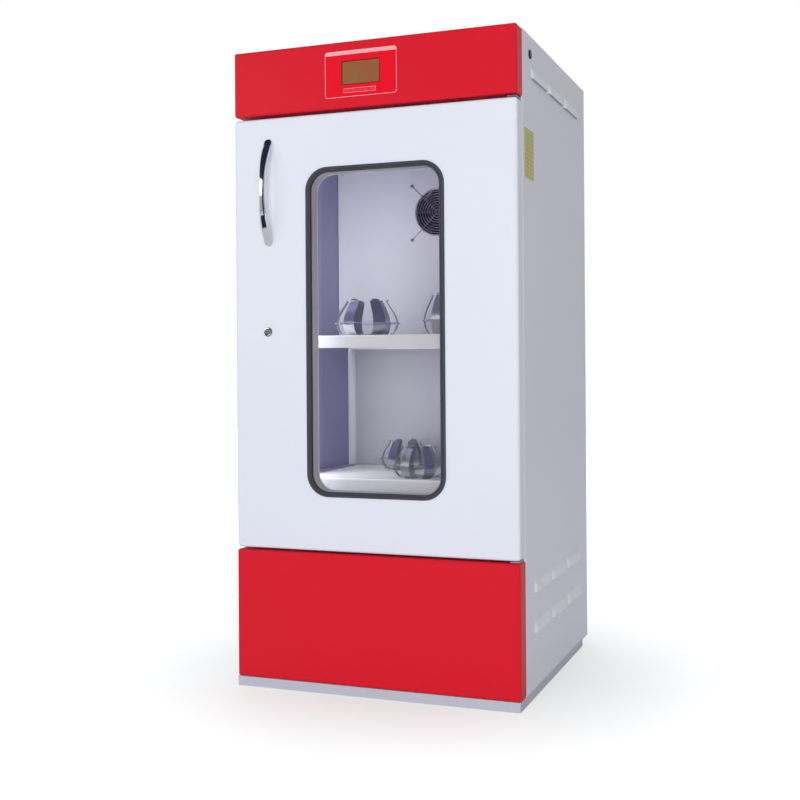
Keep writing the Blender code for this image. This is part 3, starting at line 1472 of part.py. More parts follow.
shroud_y = coil_y + CONDENSER_DEPTH + 0.002
fan_z = coil_bottom + CONDENSER_HEIGHT / 2
shroud = open_box(
    "condenser_fan_shroud",
    (fin_left - 0.0008, coil_rear - 0.002, PAN_TOP + SEAT + 0.0006),
    (fin_right + 0.0008, shroud_y + 0.030, coil_top + 0.0008),
    (0, -1, 0),
    None,
)
ring_centre = (CONDENSER_SHIFT, shroud_y + 0.030, fan_z)
cut(shroud, rods("shroud_opening", [(ring_centre, CONDENSER_FAN_RADIUS + 0.005, 0.02)], "Y", None, None, 32))
strut_low = (CONDENSER_SHIFT - 0.095, shroud_y + 0.0262, fan_z - 0.0055)
join(shroud, box("shroud_strut", strut_low, (CONDENSER_SHIFT + 0.095, shroud_y + 0.0292, fan_z + 0.006)))
hub_front = shroud_y + 0.037
motor_ends = ((CONDENSER_SHIFT, shroud_y + 0.004, fan_z), (CONDENSER_SHIFT, shroud_y + 0.0295, fan_z))
join(shroud, rod_between("shroud_motor", *motor_ends, 0.024, "Y"))
shaft_ends = ((CONDENSER_SHIFT, shroud_y + 0.020, fan_z), (CONDENSER_SHIFT, hub_front - SEAT, fan_z))
join(shroud, rod_between("shroud_shaft", *shaft_ends, 0.007, "Y"))
join(condenser, shroud)
condenser_fan_place = (CONDENSER_SHIFT, hub_front + CONDENSER_FAN_DEPTH / 2, fan_z)
condenser_pivot = empty("condenser_fan", condenser_fan_place)
impeller(
    "condenser_fan_blades",
    condenser_fan_place,
    CONDENSER_FAN_HUB,
    CONDENSER_FAN_RADIUS,
    CONDENSER_FAN_DEPTH,
    CONDENSER_FAN_BLADES,
    CONDENSER_FAN_CHORD,
    MACHINE_BLACK,
    condenser_pivot,
)


# Controls

overlay_x = OVERLAY_SHIFT
overlay_z = FASCIA_BOTTOM + FASCIA_HEIGHT / 2 + 0.0011
display_z = overlay_z + DISPLAY_RISE
hole = rectangle(DISPLAY_WIDTH, DISPLAY_HEIGHT)
hole = [(x, z + DISPLAY_RISE) for x, z in hole]
plate(
    "control_overlay",
    [rounded_rectangle(OVERLAY_WIDTH, OVERLAY_HEIGHT, 0.006, 4), hole],
    FRONT - SEAT - OVERLAY,
    FRONT - SEAT,
    (overlay_x, overlay_z),
    OVERLAY_FILM,
)
half_w, half_h = DISPLAY_WIDTH / 2, DISPLAY_HEIGHT / 2
window_cut = box(
    "display_opening",
    (overlay_x - half_w, FRONT - 0.01, display_z - half_h),
    (overlay_x + half_w, FRONT + 0.01, display_z + half_h),
)
cut(fascia, window_cut)
front_low = (overlay_x - half_w + SEAT, FRONT - SEAT - OVERLAY + 0.0002, display_z - half_h + SEAT)
front_high = (overlay_x + half_w - SEAT, FRONT + 0.006, display_z + half_h - SEAT)
display = box("display_module", front_low, front_high, DISPLAY)
body_low = (overlay_x - half_w - 0.006, FRONT + SHEET + SEAT, display_z - half_h - 0.005)
body_high = (overlay_x + half_w + 0.006, FRONT + 0.030, display_z + half_h + 0.005)
join(display, box("display_body", body_low, body_high))

SWITCH = Vector((WIDTH / 2, FRONT + SWITCH_SETBACK, HEIGHT - SWITCH_DROP))
FACE_RIGHT = (0, math.radians(90), 0)
bezel = turned(
    "switch_bezel",
    [
        (0, -0.009),
        (SWITCH_BORE, -0.009),
        (SWITCH_BORE, 0.0020),
        (SWITCH_BORE + 0.0006, 0.0026),
        (SWITCH_RADIUS - 0.0008, 0.0026),
        (SWITCH_RADIUS, 0.0018),
        (SWITCH_RADIUS, SEAT),
        (SWITCH_BODY_RADIUS, SEAT),
        (SWITCH_BODY_RADIUS, -0.016),
        (0, -0.016),
    ],
    SWITCH,
    BLACK_PLASTIC,
    None,
    16,
)
bezel.rotation_euler = FACE_RIGHT
cut(right_side, rods("switch_hole", [(SWITCH, SWITCH_BODY_RADIUS + SEAT, 0.02)], "X", None, None, 16))

rocker_pivot = empty("power_rocker_pivot", SWITCH - Vector((0.004, 0, 0)))
tilt = Matrix.Rotation(-ROCKER_TILT / 2, 4, "Y")
rocker_mesh = bpy.data.meshes.new("power_rocker")
bm = bmesh.new()
outline = [(-0.0035, -0.0030), (-0.0035, 0.0030), (0.0064, 0.0050), (0.0078, 0.0046), (0.0068, 0.0000)]
outline += [(0.0078, -0.0046), (0.0064, -0.0050)]
near = [bm.verts.new(tilt @ Vector((x, -0.0042, z))) for x, z in outline]
far = [bm.verts.new(tilt @ Vector((x, 0.0042, z))) for x, z in outline]
bm.faces.new(near)
bm.faces.new(far)
for index in range(len(outline)):
    after = (index + 1) % len(outline)
    bm.faces.new((near[index], near[after], far[after], far[index]))
bmesh.ops.recalc_face_normals(bm, faces=bm.faces)
bm.to_mesh(rocker_mesh)
bm.free()
add("power_rocker", rocker_mesh, GREEN_PLASTIC, world_place(rocker_pivot), rocker_pivot)

inlet_x, inlet_z = INLET_PLACE


def inlet_block(name, size, margin, front, back, material=None):
    """A block about the inlet's axis, from y = front to y = back."""
    half_w, half_h = size[0] / 2 + margin, size[1] / 2 + margin
    low = (inlet_x - half_w, front, inlet_z - half_h)
    return box(name, low, (inlet_x + half_w, back, inlet_z + half_h), material)


inlet = inlet_block("mains_inlet", INLET_FLANGE, 0, REAR_FACE + SEAT, REAR_FACE + 0.0012, BLACK_PLASTIC)
join(inlet, inlet_block("inlet_body", INLET_BODY, 0, REAR_FACE - INLET_DEPTH - 0.008, REAR_FACE + 0.0008))
cut(inlet, inlet_block("inlet_recess", INLET_RECESS, 0, REAR_FACE - INLET_DEPTH, REAR_FACE + 0.01))
for index, (x, z) in enumerate(((-0.007, -0.002), (0.007, -0.002), (0, 0.003))):
    pin_low = (inlet_x + x - 0.001, REAR_FACE - INLET_DEPTH - 0.002, inlet_z + z - 0.002)
    pin_high = (inlet_x + x + 0.001, REAR_FACE - 0.001, inlet_z + z + 0.002)
    join(inlet, box(f"inlet_pin_{index}", pin_low, pin_high))
cut(rear_panel, inlet_block("inlet_opening", INLET_BODY, SEAT, REAR_FACE - 0.01, REAR_FACE + 0.01))


# Hinges

bracket_low_x, bracket_high_x = PIVOT.x - 0.0095, PIVOT.x + 0.0095
leg_y = FACE - SEAT
lip_y = PIVOT.y - 0.010
upper_bracket = folded_sheet(
    "upper_hinge_bracket",
    [(lip_y, DOOR_TOP + 0.001), (leg_y, DOOR_TOP + 0.001), (leg_y, DOOR_TOP + 0.036)],
    "X",
    bracket_low_x,
    bracket_high_x,
    STEEL,
    None,
    BRACKET,
)
lower_bracket = folded_sheet(
    "lower_hinge_bracket",
    [(leg_y, DOOR_BOTTOM - 0.036), (leg_y, DOOR_BOTTOM - 0.001), (lip_y, DOOR_BOTTOM - 0.001)],
    "X",
    bracket_low_x,
    bracket_high_x,
    STEEL,
    None,
    BRACKET,
)
for piece, name, low, high in (
    (upper_bracket, "upper_pin", DOOR_TOP - PIN_DEPTH, DOOR_TOP + 0.0042),
    (lower_bracket, "lower_pin", DOOR_BOTTOM - 0.0042, DOOR_BOTTOM + PIN_DEPTH),
):
    ends = ((PIVOT.x, PIVOT.y, low), (PIVOT.x, PIVOT.y, high))
    join(piece, rod_between(name, *ends, PIN_RADIUS, "Z", None, None, 10))
notch_x = (bracket_low_x - 0.001, bracket_high_x + 0.001)
for piece, name, z in ((fascia, "fascia_notch", FASCIA_BOTTOM), (lower_panel, "panel_notch", LOWER_PANEL_TOP)):
    notch_low = (notch_x[0], FACE - 0.0045, z - 0.006)
    cut(piece, box(name, notch_low, (notch_x[1], FACE + 0.01, z + 0.006)))


# Door

door = empty("door", PIVOT)
skin = open_box(
    "door_skin",
    (-WIDTH / 2, FRONT, DOOR_BOTTOM),
    (WIDTH / 2, DOOR_BACK, DOOR_TOP),
    (0, 1, 0),
    WHITE_PAINT,
    door,
    SHEET,
    DOOR_EDGE_RADIUS,
    2,
)
WINDOW = (WINDOW_SHIFT, WINDOW_Z)


def window_outline(inset):
    return rounded_rectangle(WINDOW_WIDTH - 2 * inset, WINDOW_HEIGHT - 2 * inset, WINDOW_RADIUS - inset)


cut(skin, plate("skin_window", [window_outline(GASKET_NECK)], FRONT - 0.01, FRONT + 0.01, WINDOW))

neck = GASKET_NECK + SEAT
neck_in = neck + 0.002
glass_front = FRONT + SEAT
glass_back = glass_front + GLASS
rim_back = glass_back + SEAT + GASKET_LIP
frame_ring(
    "window_gasket",
    WINDOW_WIDTH,
    WINDOW_HEIGHT,
    WINDOW_RADIUS,
    [
        (0.0006, FRONT - SEAT),
        (0.0000, FRONT - GASKET_PROUD * 0.5),
        (0.0022, FRONT - GASKET_PROUD),
        (GASKET_WIDTH - 0.0022, FRONT - GASKET_PROUD),
        (GASKET_WIDTH, FRONT - GASKET_PROUD * 0.5),
        (GASKET_WIDTH - 0.0006, FRONT),
        (neck_in, FRONT),
        (neck_in, glass_back + SEAT),
        (GASKET_WIDTH - 0.0006, glass_back + SEAT),
        (GASKET_WIDTH - 0.0006, rim_back),
        (0.0020, rim_back),
        (0.0020, FRONT + SHEET + SEAT),
        (neck, FRONT + SHEET + SEAT),
        (neck, FRONT - SEAT),
    ],
    (WINDOW[0], 0, WINDOW[1]),
    BLACK_RUBBER,
    door,
)
plate(
    "window_front_glass",
    [window_outline(neck_in + SEAT)],
    glass_front,
    glass_back,
    WINDOW,
    CLEAR_GLASS,
    door,
)
liner_front = DOOR_BACK - SHEET
rear_glass_back = liner_front - SEAT
rear_glass_front = rear_glass_back - REAR_GLASS
reveal_in = GASKET_WIDTH + 0.0002
glass_edge = reveal_in - REAR_GLASS_LAP
frame_ring(
    "window_reveal",
    WINDOW_WIDTH,
    WINDOW_HEIGHT,
    WINDOW_RADIUS,
    [
        (reveal_in, rim_back + SEAT),
        (reveal_in, rear_glass_front - SEAT),
        (glass_edge + 0.001, rear_glass_front - SEAT),
        (glass_edge + 0.001, rear_glass_front - SEAT - 0.002),
        (reveal_in - 0.002, rear_glass_front - SEAT - 0.002),
        (reveal_in - 0.002, rim_back + SEAT),
    ],
    (WINDOW[0], 0, WINDOW[1]),
    WHITE_PAINT,
    door,
)
plate(
    "window_rear_glass",
    [window_outline(glass_edge)],
    rear_glass_front,
    rear_glass_back,
    WINDOW,
    CLEAR_GLASS,
    door,
)

door_w, door_h = WIDTH - 2 * (SHEET + SEAT), DOOR_TOP - DOOR_BOTTOM - 2 * (SHEET + SEAT)
door_middle = (DOOR_TOP + DOOR_BOTTOM) / 2
shift = (WINDOW[0], WINDOW[1] - door_middle)
view = [(x + shift[0], z + shift[1]) for x, z in window_outline(reveal_in)]
door_liner = plate(
    "door_inner_panel",
    [rounded_rectangle(door_w, door_h, 0.005, 3), view],
    liner_front,
    DOOR_BACK,
    (0, door_middle),
    WHITE_PAINT,
    door,
)
foam = box(
    "door_insulation",
    (-door_w / 2, FRONT + SHEET + SEAT, door_middle - door_h / 2),
    (door_w / 2, liner_front - SEAT, door_middle + door_h / 2),
    FOAM,
    door,
)
bend_edges(foam, 0.006, 1)
cut(foam, plate("foam_window", [window_outline(glass_edge - 0.0006)], FRONT - 0.01, DOOR_BACK + 0.01, WINDOW))

seal_w = CHAMBER_WIDTH + 2 * SEAL_LAP
seal_h = CEILING - FLOOR + 2 * SEAL_LAP
frame_ring(
    "door_seal",
    seal_w,
    seal_h,
    0.022,
    [
        (0.0000, DOOR_BACK + SEAT),
        (0.0000, DOOR_BACK + 0.0030),
        (0.0025, FACE - SEAT),
        (SEAL_WIDTH - 0.0025, FACE - SEAT),
        (SEAL_WIDTH, DOOR_BACK + 0.0030),
        (SEAL_WIDTH, DOOR_BACK + SEAT),
    ],
    (0, 0, (FLOOR + CEILING) / 2),
    GREY_RUBBER,
    door,
    4,
)

bush_top = (PIVOT.x, PIVOT.y, DOOR_TOP - 0.009)
bush_bottom = (PIVOT.x, PIVOT.y, DOOR_BOTTOM + 0.009)
bush_ends = [(bush_top, BUSH_RADIUS, 0.0164), (bush_bottom, BUSH_RADIUS, 0.0164)]
join(skin, rods("hinge_bushes", bush_ends, "Z"))
bores = [(bush_top, PIN_RADIUS + 0.0004, 0.0240), (bush_bottom, PIN_RADIUS + 0.0004, 0.0240)]
cut(skin, rods("bush_bores", bores, "Z"))
bush_room = [(bush_top, BUSH_RADIUS + SEAT, 0.0190), (bush_bottom, BUSH_RADIUS + SEAT, 0.0190)]
cut(foam, rods("bush_rooms", bush_room, "Z"))

handle_x = -WIDTH / 2 + HANDLE_INSET
handle_z = DOOR_TOP - HANDLE_DROP
HANDLE_STEPS = 14
HANDLE_SECTION = ((1, 0.35), (0.62, 1), (-0.62, 1), (-1, 0.35), (-1, -0.35), (-0.62, -1), (0.62, -1), (1, -0.35))


def handle_rows():
    """Sections of the grip, from its lower end to its upper end."""
    half_span = HANDLE_LENGTH / 2
    rise = HANDLE_PROUD - HANDLE_THICKNESS - SEAT
    rows = []
    middle_line = [(-half_span, 0.0), (-half_span + 0.6 * HANDLE_FOOT, 0.0)]
    arch = half_span - HANDLE_FOOT
    for step in range(HANDLE_STEPS + 1):
        z = -arch + 2 * arch * step / HANDLE_STEPS
        middle_line.append((z, rise * (1 - abs(z / arch) ** 2.6)))
    middle_line += [(half_span - 0.6 * HANDLE_FOOT, 0.0), (half_span, 0.0)]
    for index, (z, out) in enumerate(middle_line):
        before = Vector(middle_line[max(index - 1, 0)])
        after = Vector(middle_line[min(index + 1, len(middle_line) - 1)])
        along = (after - before).normalized()
        across = Vector((-along.y, along.x))
        share = 1 - (1 - HANDLE_WAIST) * (1 - min(abs(z) / arch, 1) ** 2)
        width = HANDLE_WIDTH * share / 2
        thick = HANDLE_THICKNESS / 2
        row = []
        for a, b in HANDLE_SECTION:
            shift_z = across.x * b * thick
            shift_y = across.y * b * thick
            row.append((a * width, -(out + shift_y) - HANDLE_THICKNESS / 2, z + shift_z))
        rows.append(row)
    return rows


handle = loft("door_handle", handle_rows(), (handle_x, FRONT - SEAT, handle_z), CHROME, door)
studs = []
for z in ((HANDLE_FOOT - HANDLE_LENGTH) / 2, (HANDLE_LENGTH - HANDLE_FOOT) / 2):
    studs.append(((handle_x, FRONT + 0.004, handle_z + z), HANDLE_STUD_RADIUS, 0.016))
join(handle, rods("handle_studs", studs, "Y", None, None, 12))
stud_room = rods("stud_rooms", [(place, HANDLE_STUD_RADIUS + 0.0004, 0.018) for place, _, _ in studs], "Y", None, None, 12)
cut(skin, stud_room)
cut(foam, stud_room)

lock_back = DOOR_BACK + 0.003
lock_body = turned(
    "lock_body",
    [
        (CYLINDER_RADIUS + SEAT, 0.0022),
        (LOCK_FLANGE - 0.0006, 0.0022),
        (LOCK_FLANGE, 0.0014),
        (LOCK_FLANGE, SEAT),
        (LOCK_RADIUS, SEAT),
        (LOCK_RADIUS, FRONT - lock_back),
        (CYLINDER_RADIUS + SEAT, FRONT - lock_back),
    ],
    LOCK,
    CHROME,
    door,
    16,
    True,
    True,
)
lock_room = rods("lock_room", [(LOCK + Vector((0, 0.02, 0)), LOCK_RADIUS + SEAT, 0.06)], "Y", None, None, 16)
for piece in (skin, foam, door_liner):
    cut(piece, lock_room)
lock_pivot = empty("lock_turn", LOCK, door)
cylinder = turned(
    "lock_cylinder",
    [
        (0, 0.0018),
        (CYLINDER_RADIUS - 0.0005, 0.0018),
        (CYLINDER_RADIUS, 0.0013),
        (CYLINDER_RADIUS, FRONT - cam_y + SEAT),
        (0.0035, FRONT - cam_y + SEAT),
        (0.0035, FRONT - cam_y - CAM - 0.003),
        (0, FRONT - cam_y - CAM - 0.003),
    ],
    LOCK,
    STEEL,
    lock_pivot,
    12,
    True,
)
slot_low = LOCK + Vector((-0.0007, -0.01, -0.0034))
cut(cylinder, box("key_slot", slot_low, LOCK + Vector((0.0007, 0.012, 0.0034))))
cam_outline = [
    (-CAM_WIDTH / 2, -CAM_WIDTH / 2),
    (CAM_WIDTH / 2, -CAM_WIDTH / 2),
    (CAM_WIDTH / 2, CAM_LENGTH - 0.003),
    (CAM_WIDTH / 2 - 0.003, CAM_LENGTH),
    (0.003 - CAM_WIDTH / 2, CAM_LENGTH),
    (-CAM_WIDTH / 2, CAM_LENGTH - 0.003),
]
join(cylinder, plate("lock_cam", [cam_outline], cam_y, cam_y + CAM, (LOCK.x, LOCK.z)))
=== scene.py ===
import math

import bmesh
import bpy
from mathutils import Matrix, Vector


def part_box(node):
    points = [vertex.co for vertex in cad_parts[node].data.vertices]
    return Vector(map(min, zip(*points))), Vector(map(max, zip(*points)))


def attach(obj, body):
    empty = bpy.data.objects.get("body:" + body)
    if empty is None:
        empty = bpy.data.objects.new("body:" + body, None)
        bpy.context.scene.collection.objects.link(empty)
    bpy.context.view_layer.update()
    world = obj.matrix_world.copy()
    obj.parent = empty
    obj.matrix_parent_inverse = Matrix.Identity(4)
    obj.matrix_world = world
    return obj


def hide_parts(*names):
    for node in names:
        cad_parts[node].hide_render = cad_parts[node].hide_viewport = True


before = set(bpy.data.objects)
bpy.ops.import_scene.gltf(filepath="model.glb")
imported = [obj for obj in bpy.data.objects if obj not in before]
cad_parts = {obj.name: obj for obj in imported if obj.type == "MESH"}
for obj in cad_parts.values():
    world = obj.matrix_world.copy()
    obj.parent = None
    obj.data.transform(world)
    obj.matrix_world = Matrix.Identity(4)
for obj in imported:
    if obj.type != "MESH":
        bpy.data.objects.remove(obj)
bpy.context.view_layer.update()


# Camera. It stands to the right of the cabinet's front, at half the cabinet's height, and its
# picture is shifted down so that the upright edges stay upright.
EYE = (0.9378, -2.6131, 0.7095)
EYE_TURN = math.radians(20.749)
EYE_ROLL = math.radians(-0.4034)
SENSOR = 36
FOCAL_LENGTH = 52.69
PICTURE_SHIFT = -0.0452

lens = bpy.data.cameras.new("camera")
lens.sensor_width = SENSOR
lens.lens = FOCAL_LENGTH
lens.shift_y = PICTURE_SHIFT
camera = bpy.data.objects.new("camera", lens)
bpy.context.scene.collection.objects.link(camera)
bpy.context.scene.camera = camera
level = Matrix.Rotation(math.radians(90), 4, "X")
camera.matrix_world = (
    Matrix.Translation(EYE)
    @ Matrix.Rotation(EYE_TURN, 4, "Z")
    @ level
    @ Matrix.Rotation(EYE_ROLL, 4, "Z")
)
bpy.context.scene.view_settings.view_transform = "Standard"


# Studio. A pale floor in an even white surround, a broad soft lamp behind the camera with weaker
# ones at the left and the back, and dark blue cards for the glass and the chrome to show. The
# front lamp isn't mirrored, so that the window stays clear when it is seen straight on.
SURROUND = 0.44
BACKGROUND = (1.0, 1.0, 1.0)
FLOOR_COLOUR = (0.90, 0.90, 0.92)
FLOOR_REACH = 9.0
FLOOR_HEIGHT = -0.0008
SHADOW_COLOUR = (0.33, 0.36, 0.37)
SHADOW_SHARE = 0.42  # how much of the floor's white gives way to shadow beside the cabinet
SHADOW_REACH = (0.34, 1.0)
LAMP_AIM = Vector((0, 0, 0.7))
LAMPS = (
    ("front_lamp", (1.25, -5.0, 1.0), (3.6, 2.0), 107),
    ("left_lamp", (-4.1, -4.5, 2.25), (3.4, 0.9), 32),
    ("back_lamp", (-2.4, 4.2, 3.0), (3.0, 2.6), 50),
)
CHAMBER_LAMP = ((-0.232, -0.235, 0.79), (0.05, 0.78), 2.9)
CHAMBER_LAMP_WAY = Vector((0.55, 1.0, 0.0))
CARDS = (
    ("window_card", (-1.15, -3.2, 0.85), (0.98, 2.4), 0, 0),
    ("high_card", (-1.03, -1.77, 2.60), (2.0, 2.3), 29, -48),
    ("low_card", (-0.67, -1.03, 0.64), (0.30, 0.36), 28, 0),
    ("right_card", (1.9, -3.0, 1.5), (0.35, 1.6), -40, 0),
)


class Wire:
    """One socket of a node tree. Arithmetic on it adds Math nodes."""

    def __init__(self, nodes, socket):
        self.nodes = nodes
        self.socket = socket

    def math(self, operation, *others):
        return self.nodes.math(operation, self, *others)

    def __add__(self, other):
        return self.nodes.math("ADD", self, other)

    def __sub__(self, other):
        return self.nodes.math("SUBTRACT", self, other)

    def __rsub__(self, other):
        return self.nodes.math("SUBTRACT", other, self)

    def __mul__(self, other):
        return self.nodes.math("MULTIPLY", self, other)

    def __truediv__(self, other):
        return self.nodes.math("DIVIDE", self, other)

    def __lt__(self, other):
        return self.nodes.math("LESS_THAN", self, other)

    __radd__ = __add__
    __rmul__ = __mul__


class Nodes:
    """A node tree that is written as Python."""

    def __init__(self, tree):
        self.tree = tree

    def feed(self, socket, value):
        if isinstance(value, Wire):
            self.tree.links.new(value.socket, socket)
        elif socket.type == "RGBA" and len(value) == 3:
            socket.default_value = (*value, 1)
        else:
            socket.default_value = value

    def node(self, kind, settings=None, sockets=None, output=0):
        """Adds a node: first its settings, then the values or wires of its sockets."""
        made = self.tree.nodes.new(kind)
        for key, value in (settings or {}).items():
            if key == "stops":
                for place, colour in value[2:]:
                    made.color_ramp.elements.new(place)
                for element, (place, colour) in zip(made.color_ramp.elements, sorted(value)):
                    element.position = place
                    element.color = (*colour, 1)
            else:
                setattr(made, key, value)
        for key, value in (sockets or {}).items():
            self.feed(made.inputs[key], value)
        return Wire(self, made.outputs[output])

    def math(self, operation, *values):
        settings = {"operation": operation}
        return self.node("ShaderNodeMath", settings, dict(enumerate(values)))

    def axes(self, vector):
        """The three coordinates of a vector."""
        first = self.node("ShaderNodeSeparateXYZ", None, {0: vector})
        return [Wire(self, socket) for socket in first.socket.node.outputs]

    def vector(self, x, y, z):
        return self.node("ShaderNodeCombineXYZ", None, {0: x, 1: y, 2: z})


def seen(red, green, blue):
    """A colour as it is seen, from 0 to 255, in the linear values of a shader."""
    values = [value / 255 for value in (red, green, blue)]
    return tuple(v / 12.92 if v <= 0.04045 else ((v + 0.055) / 1.055) ** 2.4 for v in values)


class Finish(Nodes):
    """One surface finish: a material, its shader and the nodes that vary it."""

    def __init__(self, name, colour, roughness, metallic=0.0, **plain):
        self.material = bpy.data.materials.new(name)
        self.material.use_nodes = True
        super().__init__(self.material.node_tree)
        self.shader = self.tree.nodes["Principled BSDF"]
        self.set("Base Color", colour)
        self.set("Roughness", roughness)
        self.set("Metallic", metallic)
        for key, value in plain.items():
            self.set(key.replace("_", " "), value)
        self.colour = colour
        self.place = self.node("ShaderNodeTexCoord", output=3)

    def set(self, socket, value):
        self.feed(self.shader.inputs[socket], value)

    def noise(self, size, detail=2.0, stretch=(1, 1, 1)):
        """Cloudy noise from 0 to 1 with features of about this size in metres."""
        place = self.node("ShaderNodeMapping", None, {"Vector": self.place, "Scale": stretch})
        sockets = {"Vector": place, "Scale": 1 / size, "Detail": detail}
        return self.node("ShaderNodeTexNoise", None, sockets)

    def mix(self, factor, one, other):
        """Colour one where the factor is 0 and the other where it is 1."""
        sockets = {0: factor, 6: one, 7: other}
        return self.node("ShaderNodeMix", {"data_type": "RGBA"}, sockets, 2)

    def ramp(self, value, low, high):
        """The share from 0 to 1 of the way from low to high."""
        sockets = {"Value": value, "From Min": low, "From Max": high}
        return self.node("ShaderNodeMapRange", None, sockets)

    def bump(self, height, depth):
        """Raises the surface by up to this depth in metres."""
        sockets = {"Height": height, "Distance": depth, "Strength": 1.0}
        self.set("Normal", self.node("ShaderNodeBump", None, sockets))

    def shade(self, share, wire):
        """The base colour, darker by up to a share where the wire is 1."""
        darker = [channel * (1 - share) for channel in self.colour[:3]]
        self.set("Base Color", self.mix(wire, self.colour, darker))

    def cloud(self, share, size, detail):
        self.shade(share, self.noise(size, detail))

    def relief(self, size, detail, depth):
        self.bump(self.noise(size, detail), depth)


def stand(name, mesh):
    """An object of the scene at the origin."""
    made = bpy.data.objects.new(name, mesh)
    bpy.context.scene.collection.objects.link(made)
    return made


def rays(nodes):
    """1 for rays from the camera and through glass, and 0 for other rays."""
    path = nodes.node("ShaderNodeLightPath").socket.node
    camera_ray, glass_ray = (
        Wire(nodes, path.outputs[name]) for name in ("Is Camera Ray", "Is Transmission Ray")
    )
    return camera_ray.math("MAXIMUM", glass_ray)


world = bpy.data.worlds.new("white_surround")
world.use_nodes = True
bpy.context.scene.world = world
sky = Nodes(world.node_tree)
sky_light = world.node_tree.nodes["Background"]
sky.feed(sky_light.inputs["Color"], BACKGROUND)
sky.feed(sky_light.inputs["Strength"], rays(sky) * (1 - SURROUND) + SURROUND)

floor_mesh = bpy.data.meshes.new("studio_floor")
SQUARE = ((-1, -1), (1, -1), (1, 1), (-1, 1))
corners = [(x * FLOOR_REACH, y * FLOOR_REACH, FLOOR_HEIGHT) for x, y in SQUARE]
floor_mesh.from_pydata(corners, [], [(0, 1, 2, 3)])
floor = stand("studio_floor", floor_mesh)
floor_finish = Finish("pale_floor", FLOOR_COLOUR, 0.9)
x, y, _ = floor_finish.axes(floor_finish.place)
away = (x * x + y * y).math("SQRT")
watched = rays(floor_finish)
floor_finish.set("Base Color", floor_finish.mix(watched, FLOOR_COLOUR, SHADOW_COLOUR))
lift = watched * (floor_finish.ramp(away, *SHADOW_REACH) * SHADOW_SHARE + (1 - SHADOW_SHARE))
floor_finish.set("Emission Color", floor_finish.mix(lift, (0.0, 0.0, 0.0), BACKGROUND))
floor_finish.set("Emission Strength", 1.0)
floor_mesh.materials.append(floor_finish.material)

for name, place, size, power in LAMPS:
    lamp = bpy.data.lights.new(name, "AREA")
    lamp.shape = "RECTANGLE"
    lamp.size, lamp.size_y = size
    lamp.energy = power
    holder = stand(name, lamp)
    holder.location = place
    aim = LAMP_AIM - Vector(place)
    holder.rotation_euler = aim.to_track_quat("-Z", "Y").to_euler()
    holder.visible_glossy = name != "front_lamp"

# The chamber's own light is a strip behind the left side of the door frame.
place, size, power = CHAMBER_LAMP
strip_light = bpy.data.lights.new("chamber_lamp", "AREA")
strip_light.shape = "RECTANGLE"
strip_light.size, strip_light.size_y = size
strip_light.energy = power
holder = stand("chamber_lamp", strip_light)
holder.location = place
holder.rotation_euler = CHAMBER_LAMP_WAY.to_track_quat("-Z", "Y").to_euler()
for ray in ("camera", "glossy", "transmission"):
    setattr(holder, "visible_" + ray, False)

card_finish = Finish("dark_blue_card", seen(28, 34, 72), 0.8)
for name, place, (width, height), turn, lean in CARDS:
    card_mesh = bpy.data.meshes.new(name)
    swing = Matrix.Rotation(math.radians(-turn), 4, "Z") @ Matrix.Rotation(math.radians(lean), 4, "X")
    across, up = swing @ Vector((width / 2, 0, 0)), swing @ Vector((0, 0, height / 2))
    corners = [Vector(place) + a * across + b * up for a, b in SQUARE]
    card_mesh.from_pydata(corners, [], [(0, 1, 2, 3)])
    card_mesh.materials.append(card_finish.material)
    card = stand(name, card_mesh)
    card.visible_camera = False
    card.visible_diffuse = False
    card.visible_transmission = False
    card.visible_shadow = False


# Cabinet sheets. Folded mild steel, 1.5 mm thick, powder coated: white sides, grey base, back
# and top. The coat has a fine orange peel, and is a little greyer and rougher near the floor.
WHITE = seen(232, 237, 248)
GREY = seen(198, 202, 216)
SHEET = 0.0015
PEEL = 0.0035  # size of the coat's ripples


def powder_coat(name, colour, roughness=0.36):
    coat = Finish(name, colour, roughness)
    cloud = coat.noise(0.18, 3)
    _, _, height = coat.axes(coat.place)
    low = 1 - coat.ramp(height, 0.0, 0.12)
    # The colour is darker towards the bottom, over the lowest 0.12 m, and darker at random in large
    # clouds.
    darkening = low * coat.noise(0.03, 4) * 0.6 + cloud * 0.25
    coat.shade(0.10, darkening)
    coat.set("Roughness", cloud * 0.10 + low * 0.10 + (roughness - 0.05))
    coat.bump(coat.noise(PEEL, 1) + coat.noise(PEEL * 6, 0) * 0.8, 0.00006)
    return coat


white_coat = powder_coat("white_powder_coat", WHITE)
# The side panels' own copy of the white coat, which carries the painted shade and painted highlight set
# below.
shade_and_highlight_side_coat = powder_coat("side_powder_coat", WHITE)
grey_coat = powder_coat("grey_powder_coat", GREY, 0.42)


def link_piece(name, bm):
    """An object whose mesh is what bm holds."""
    mesh = bpy.data.meshes.new(name)
    bm.to_mesh(mesh)
    bm.free()
    return stand(name, mesh)


def settle(piece):
    """Turns a piece's modifiers into its mesh."""
    graph = bpy.context.evaluated_depsgraph_get()
    mesh = bpy.data.meshes.new_from_object(piece.evaluated_get(graph))
    piece.modifiers.clear()
    piece.data = mesh
    mesh.name = piece.name
    return piece


def soften(piece, radius, angle=30, segments=2):
    """Rounds a piece's sharp edges by a small radius, and shades it smooth between edges."""
    edge = piece.modifiers.new("edges", "BEVEL")
    edge.limit_method = "ANGLE"
    edge.angle_limit = math.radians(angle)
    edge.width = radius
    edge.segments = segments
    edge.use_clamp_overlap = True
    settle(piece)
    return smooth(piece, angle)


def smooth(piece, angle=30):
    """Shades a piece smooth, apart from edges sharper than the angle."""
    piece.data.shade_smooth()
    piece.data.set_sharp_from_angle(angle=math.radians(angle))
    even = piece.modifiers.new("even_normals", "WEIGHTED_NORMAL")
    even.keep_sharp = True
    return settle(piece)


